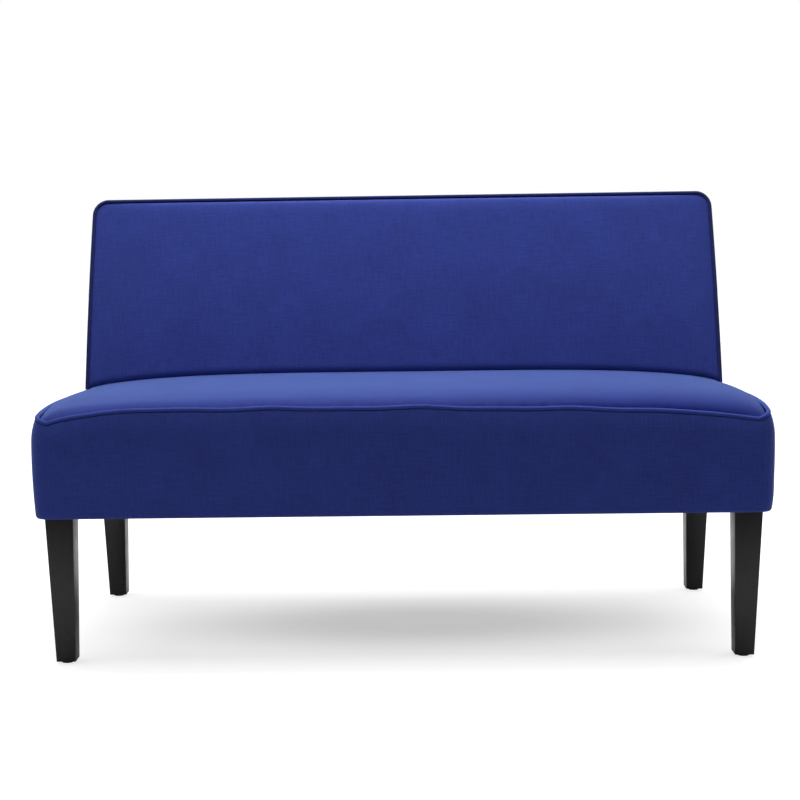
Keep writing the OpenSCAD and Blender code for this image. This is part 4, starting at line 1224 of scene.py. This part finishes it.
class DustCover(Operator):
    """Black cambric under the frame, notched round the legs, and its staples"""

    bl_idname = "loveseat.dust_cover"
    bl_label = "Dust cover"

    def execute(self, context):
        bm = merged_copy("dust_cover")
        step, sag, hem, reach = 0.04, 0.0012, 0.06, 0.15
        for axis in (0, 1):
            for cut in np.arange(DUST_LOW[axis] + step / 2, DUST_HIGH[axis], step):
                point, normal = [0.0] * 3, [0.0] * 3
                point[axis], normal[axis] = float(cut), 1.0
                geom = bm.verts[:] + bm.edges[:] + bm.faces[:]
                bmesh.ops.bisect_plane(bm, geom=geom, dist=1e-6, plane_co=point, plane_no=normal)
        for v in bm.verts:
            x, y = v.co.x, v.co.y
            from_edge = min(DUST_HIGH[0] - abs(x), y - DUST_LOW[1], DUST_HIGH[1] - y)
            loose = max(0, min(1, (from_edge - hem) / reach))
            v.co.z -= sag * loose * (1 + 0.4 * math.sin(17 * x + 11 * y))
        bmesh.ops.recalc_face_normals(bm, faces=bm.faces)
        obj = made_from(bm, "dust_cover_sheet")
        finish_piece(obj, "black_cambric", "dust_cloth", "dust_cover")
        self.staples(context.scene.loveseat_frame)
        return {"FINISHED"}

    def staples(self, look):
        """Flat wire crowns along the edges between the legs, each turned a little."""
        size = {"Pitch": look.staple_pitch, "Width": look.staple, "Radius": STAPLE_RADIUS}
        g = Path("staple_row", **size, Seed=7, Material=finish("zinc_plate"))
        start, stop = g.ends(g.given["Width"], "X")
        crown = g.node("GeometryNodeCurvePrimitiveLine", Start=start, End=stop)
        kind = {"data_type": "FLOAT"}
        turn = g.node("FunctionNodeRandomValue", kind, i2=-0.25, i3=0.25, Seed=g.given["Seed"])
        spin = g.node("ShaderNodeCombineXYZ", Z=turn.outputs[1])
        g.row(crown.outputs[0], spin.outputs[0])
        front, rear = (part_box(f"leg_{end}_right") for end in ("front", "rear"))
        in_x, in_y, from_leg = 0.012, 0.010, 0.03
        x, z = DUST_HIGH[0] - in_x, DUST_LOW[2] - TOUCH
        inner = front[0][0] - from_leg
        near, far = front[1][1] + from_leg, rear[0][1] - from_leg
        lines = [((-inner, y), (inner, y)) for y in (DUST_LOW[1] + in_y, DUST_HIGH[1] - in_y)]
        lines += [((side, near), (side, far)) for side in (-x, x)]
        made = []
        for a, b in lines:
            path = np.linspace((*a, z), (*b, z), 12)
            made.append(g.apply(path, f"staple_row_{len(made)}"))
        finish_piece(join("dust_cover_staples", made), "zinc_plate", "zinc_steel")


class Studio(Operator):
    """White floor, soft lamps and the camera"""

    bl_idname = "loveseat.studio"
    bl_label = "Studio"

    def execute(self, context):
        scene = context.scene
        look = scene.loveseat_studio
        scene.view_settings.view_transform = "Standard"
        self.floor()
        self.world(scene, look)
        self.lamp("overhead_softbox", look.key, (5.6, 2.8), (0.0, 0.12, 3.0))
        self.lamp("seat_lamp", look.near, (1.9, 0.5), (0.0, -0.06, 1.62))
        self.lamp("front_lamp", look.fill, (2.4, 1.8), (-3.0, -2.8, 1.9), (66, 0, -46))
        data = bpy.data.cameras.new("studio_camera")
        data.sensor_width, data.lens = 36.0, look.lens
        data.shift_x, data.shift_y = -0.0138, -0.229
        camera = linked("studio_camera", data)
        camera.location = (look.camera_x, look.camera_y, look.camera_z)
        camera.rotation_euler = (math.pi / 2, math.radians(0.60), 0)
        scene.camera = camera
        return {"FINISHED"}

    def floor(self):
        """A white floor that the camera sees brighter, away from the object: painted light that
        the camera alone sees, dimmer round the object, shapes the object's shadow.
        """
        s = Shader("white_floor", Roughness=0.9, Specular_IOR_Level=0.1)
        seen = s.node("ShaderNodeLightPath").outputs["Is Camera Ray"]
        size = ("ShaderNodeVectorMath", {"operation": "LENGTH"})
        near = s.place((1.2, 2.7, 1.0), (-0.04, -0.02, 0.0))
        near, far = (s.node(*size, i0=where).outputs["Value"] for where in (near, s.place()))
        # painted light that the camera alone sees: lowest round the object, so that it shapes the
        # object's shadow on the floor
        painted_floor_light = s.math(
            "ADD",
            s.spread(near, 0.15, 0.80, 0.49, 0.74, "SMOOTHSTEP"),
            s.spread(far, 0.8, 2.2, 0.0, 0.26),
        )
        light = s.node("ShaderNodeEmission", Strength=s.math("MULTIPLY", seen, painted_floor_light))
        # the camera sees the floor darker than the light bounced off it does, which together with
        # the painted light sets how the shadow looks
        s.out(Base_Color=s.spread(seen, 0.0, 1.0, 0.7, 0.42))
        both = s.node("ShaderNodeAddShader", i0=s.shader.outputs[0], i1=light.outputs[0])
        s.put(s.tree.nodes["Material Output"].inputs["Surface"], both.outputs[0])
        line = np.linspace(-15.0, 15.0, 41)
        points = xyz(*np.meshgrid(line, line), 0.0).reshape(-1, 3)
        mesh = bpy.data.meshes.new("studio_floor")
        mesh.from_pydata(points.tolist(), [], grid_quads(41, 41).tolist())
        mesh.materials.append(s.material)
        floor = linked("studio_floor", mesh)

    def world(self, scene, look):
        """A white backdrop behind the object and a darker room in front of it."""
        scene.world = bpy.data.worlds.new("studio_world")
        scene.world.use_nodes = True
        t = Tree(scene.world.node_tree)
        way = t.node("ShaderNodeTexCoord").outputs["Generated"]
        split = t.node("ShaderNodeSeparateXYZ", i0=way)
        level = t.spread(split.outputs["Y"], -0.5, 0.5, look.front, look.behind)
        path = t.node("ShaderNodeLightPath").outputs
        seen = t.math("MAXIMUM", path["Is Camera Ray"], path["Is Transmission Ray"])
        backdrop = t.tree.nodes["Background"].inputs
        t.put(backdrop["Color"], (1, 1, 1, 1))
        t.put(backdrop["Strength"], t.math("MAXIMUM", seen, level))

    def lamp(self, name, power, size, place, turn=(0, 0, 0)):
        data = bpy.data.lights.new(name, "AREA")
        data.shape, data.energy = "RECTANGLE", power
        data.size, data.size_y = size
        lamp = linked(name, data)
        lamp.location = place
        lamp.rotation_euler = [math.radians(a) for a in turn]


OPERATORS = (
    Studio,
    WoodAndSteel,
    Legs,
    InnerPadding,
    SeatCushion,
    BackCushion,
    SeatBorder,
    BackBoxing,
    Piping,
    Stitches,
    DustCover,
)


class LoveseatPanel(Panel):
    """Builds the loveseat piece by piece"""

    bl_idname = "VIEW3D_PT_loveseat"
    bl_label = "Loveseat"
    bl_space_type = "VIEW_3D"
    bl_region_type = "UI"
    bl_category = "Loveseat"

    def draw(self, context):
        for operator in OPERATORS:
            self.layout.operator(operator.bl_idname)
        for name in PROPERTIES:
            box = self.layout.box()
            group = getattr(context.scene, name)
            for key in group.__annotations__:
                box.prop(group, key)


CLASSES = (*PROPERTIES.values(), *OPERATORS, LoveseatPanel)


def register():
    for cls in CLASSES:
        bpy.utils.register_class(cls)
    for name, cls in PROPERTIES.items():
        setattr(bpy.types.Scene, name, PointerProperty(type=cls))


def unregister():
    for name in PROPERTIES:
        delattr(bpy.types.Scene, name)
    for cls in reversed(CLASSES):
        bpy.utils.unregister_class(cls)


def main():
    register()
    for operator in OPERATORS:
        family, call = operator.bl_idname.split(".")
        getattr(getattr(bpy.ops, family), call)()


if __name__ == "__main__":
    main()
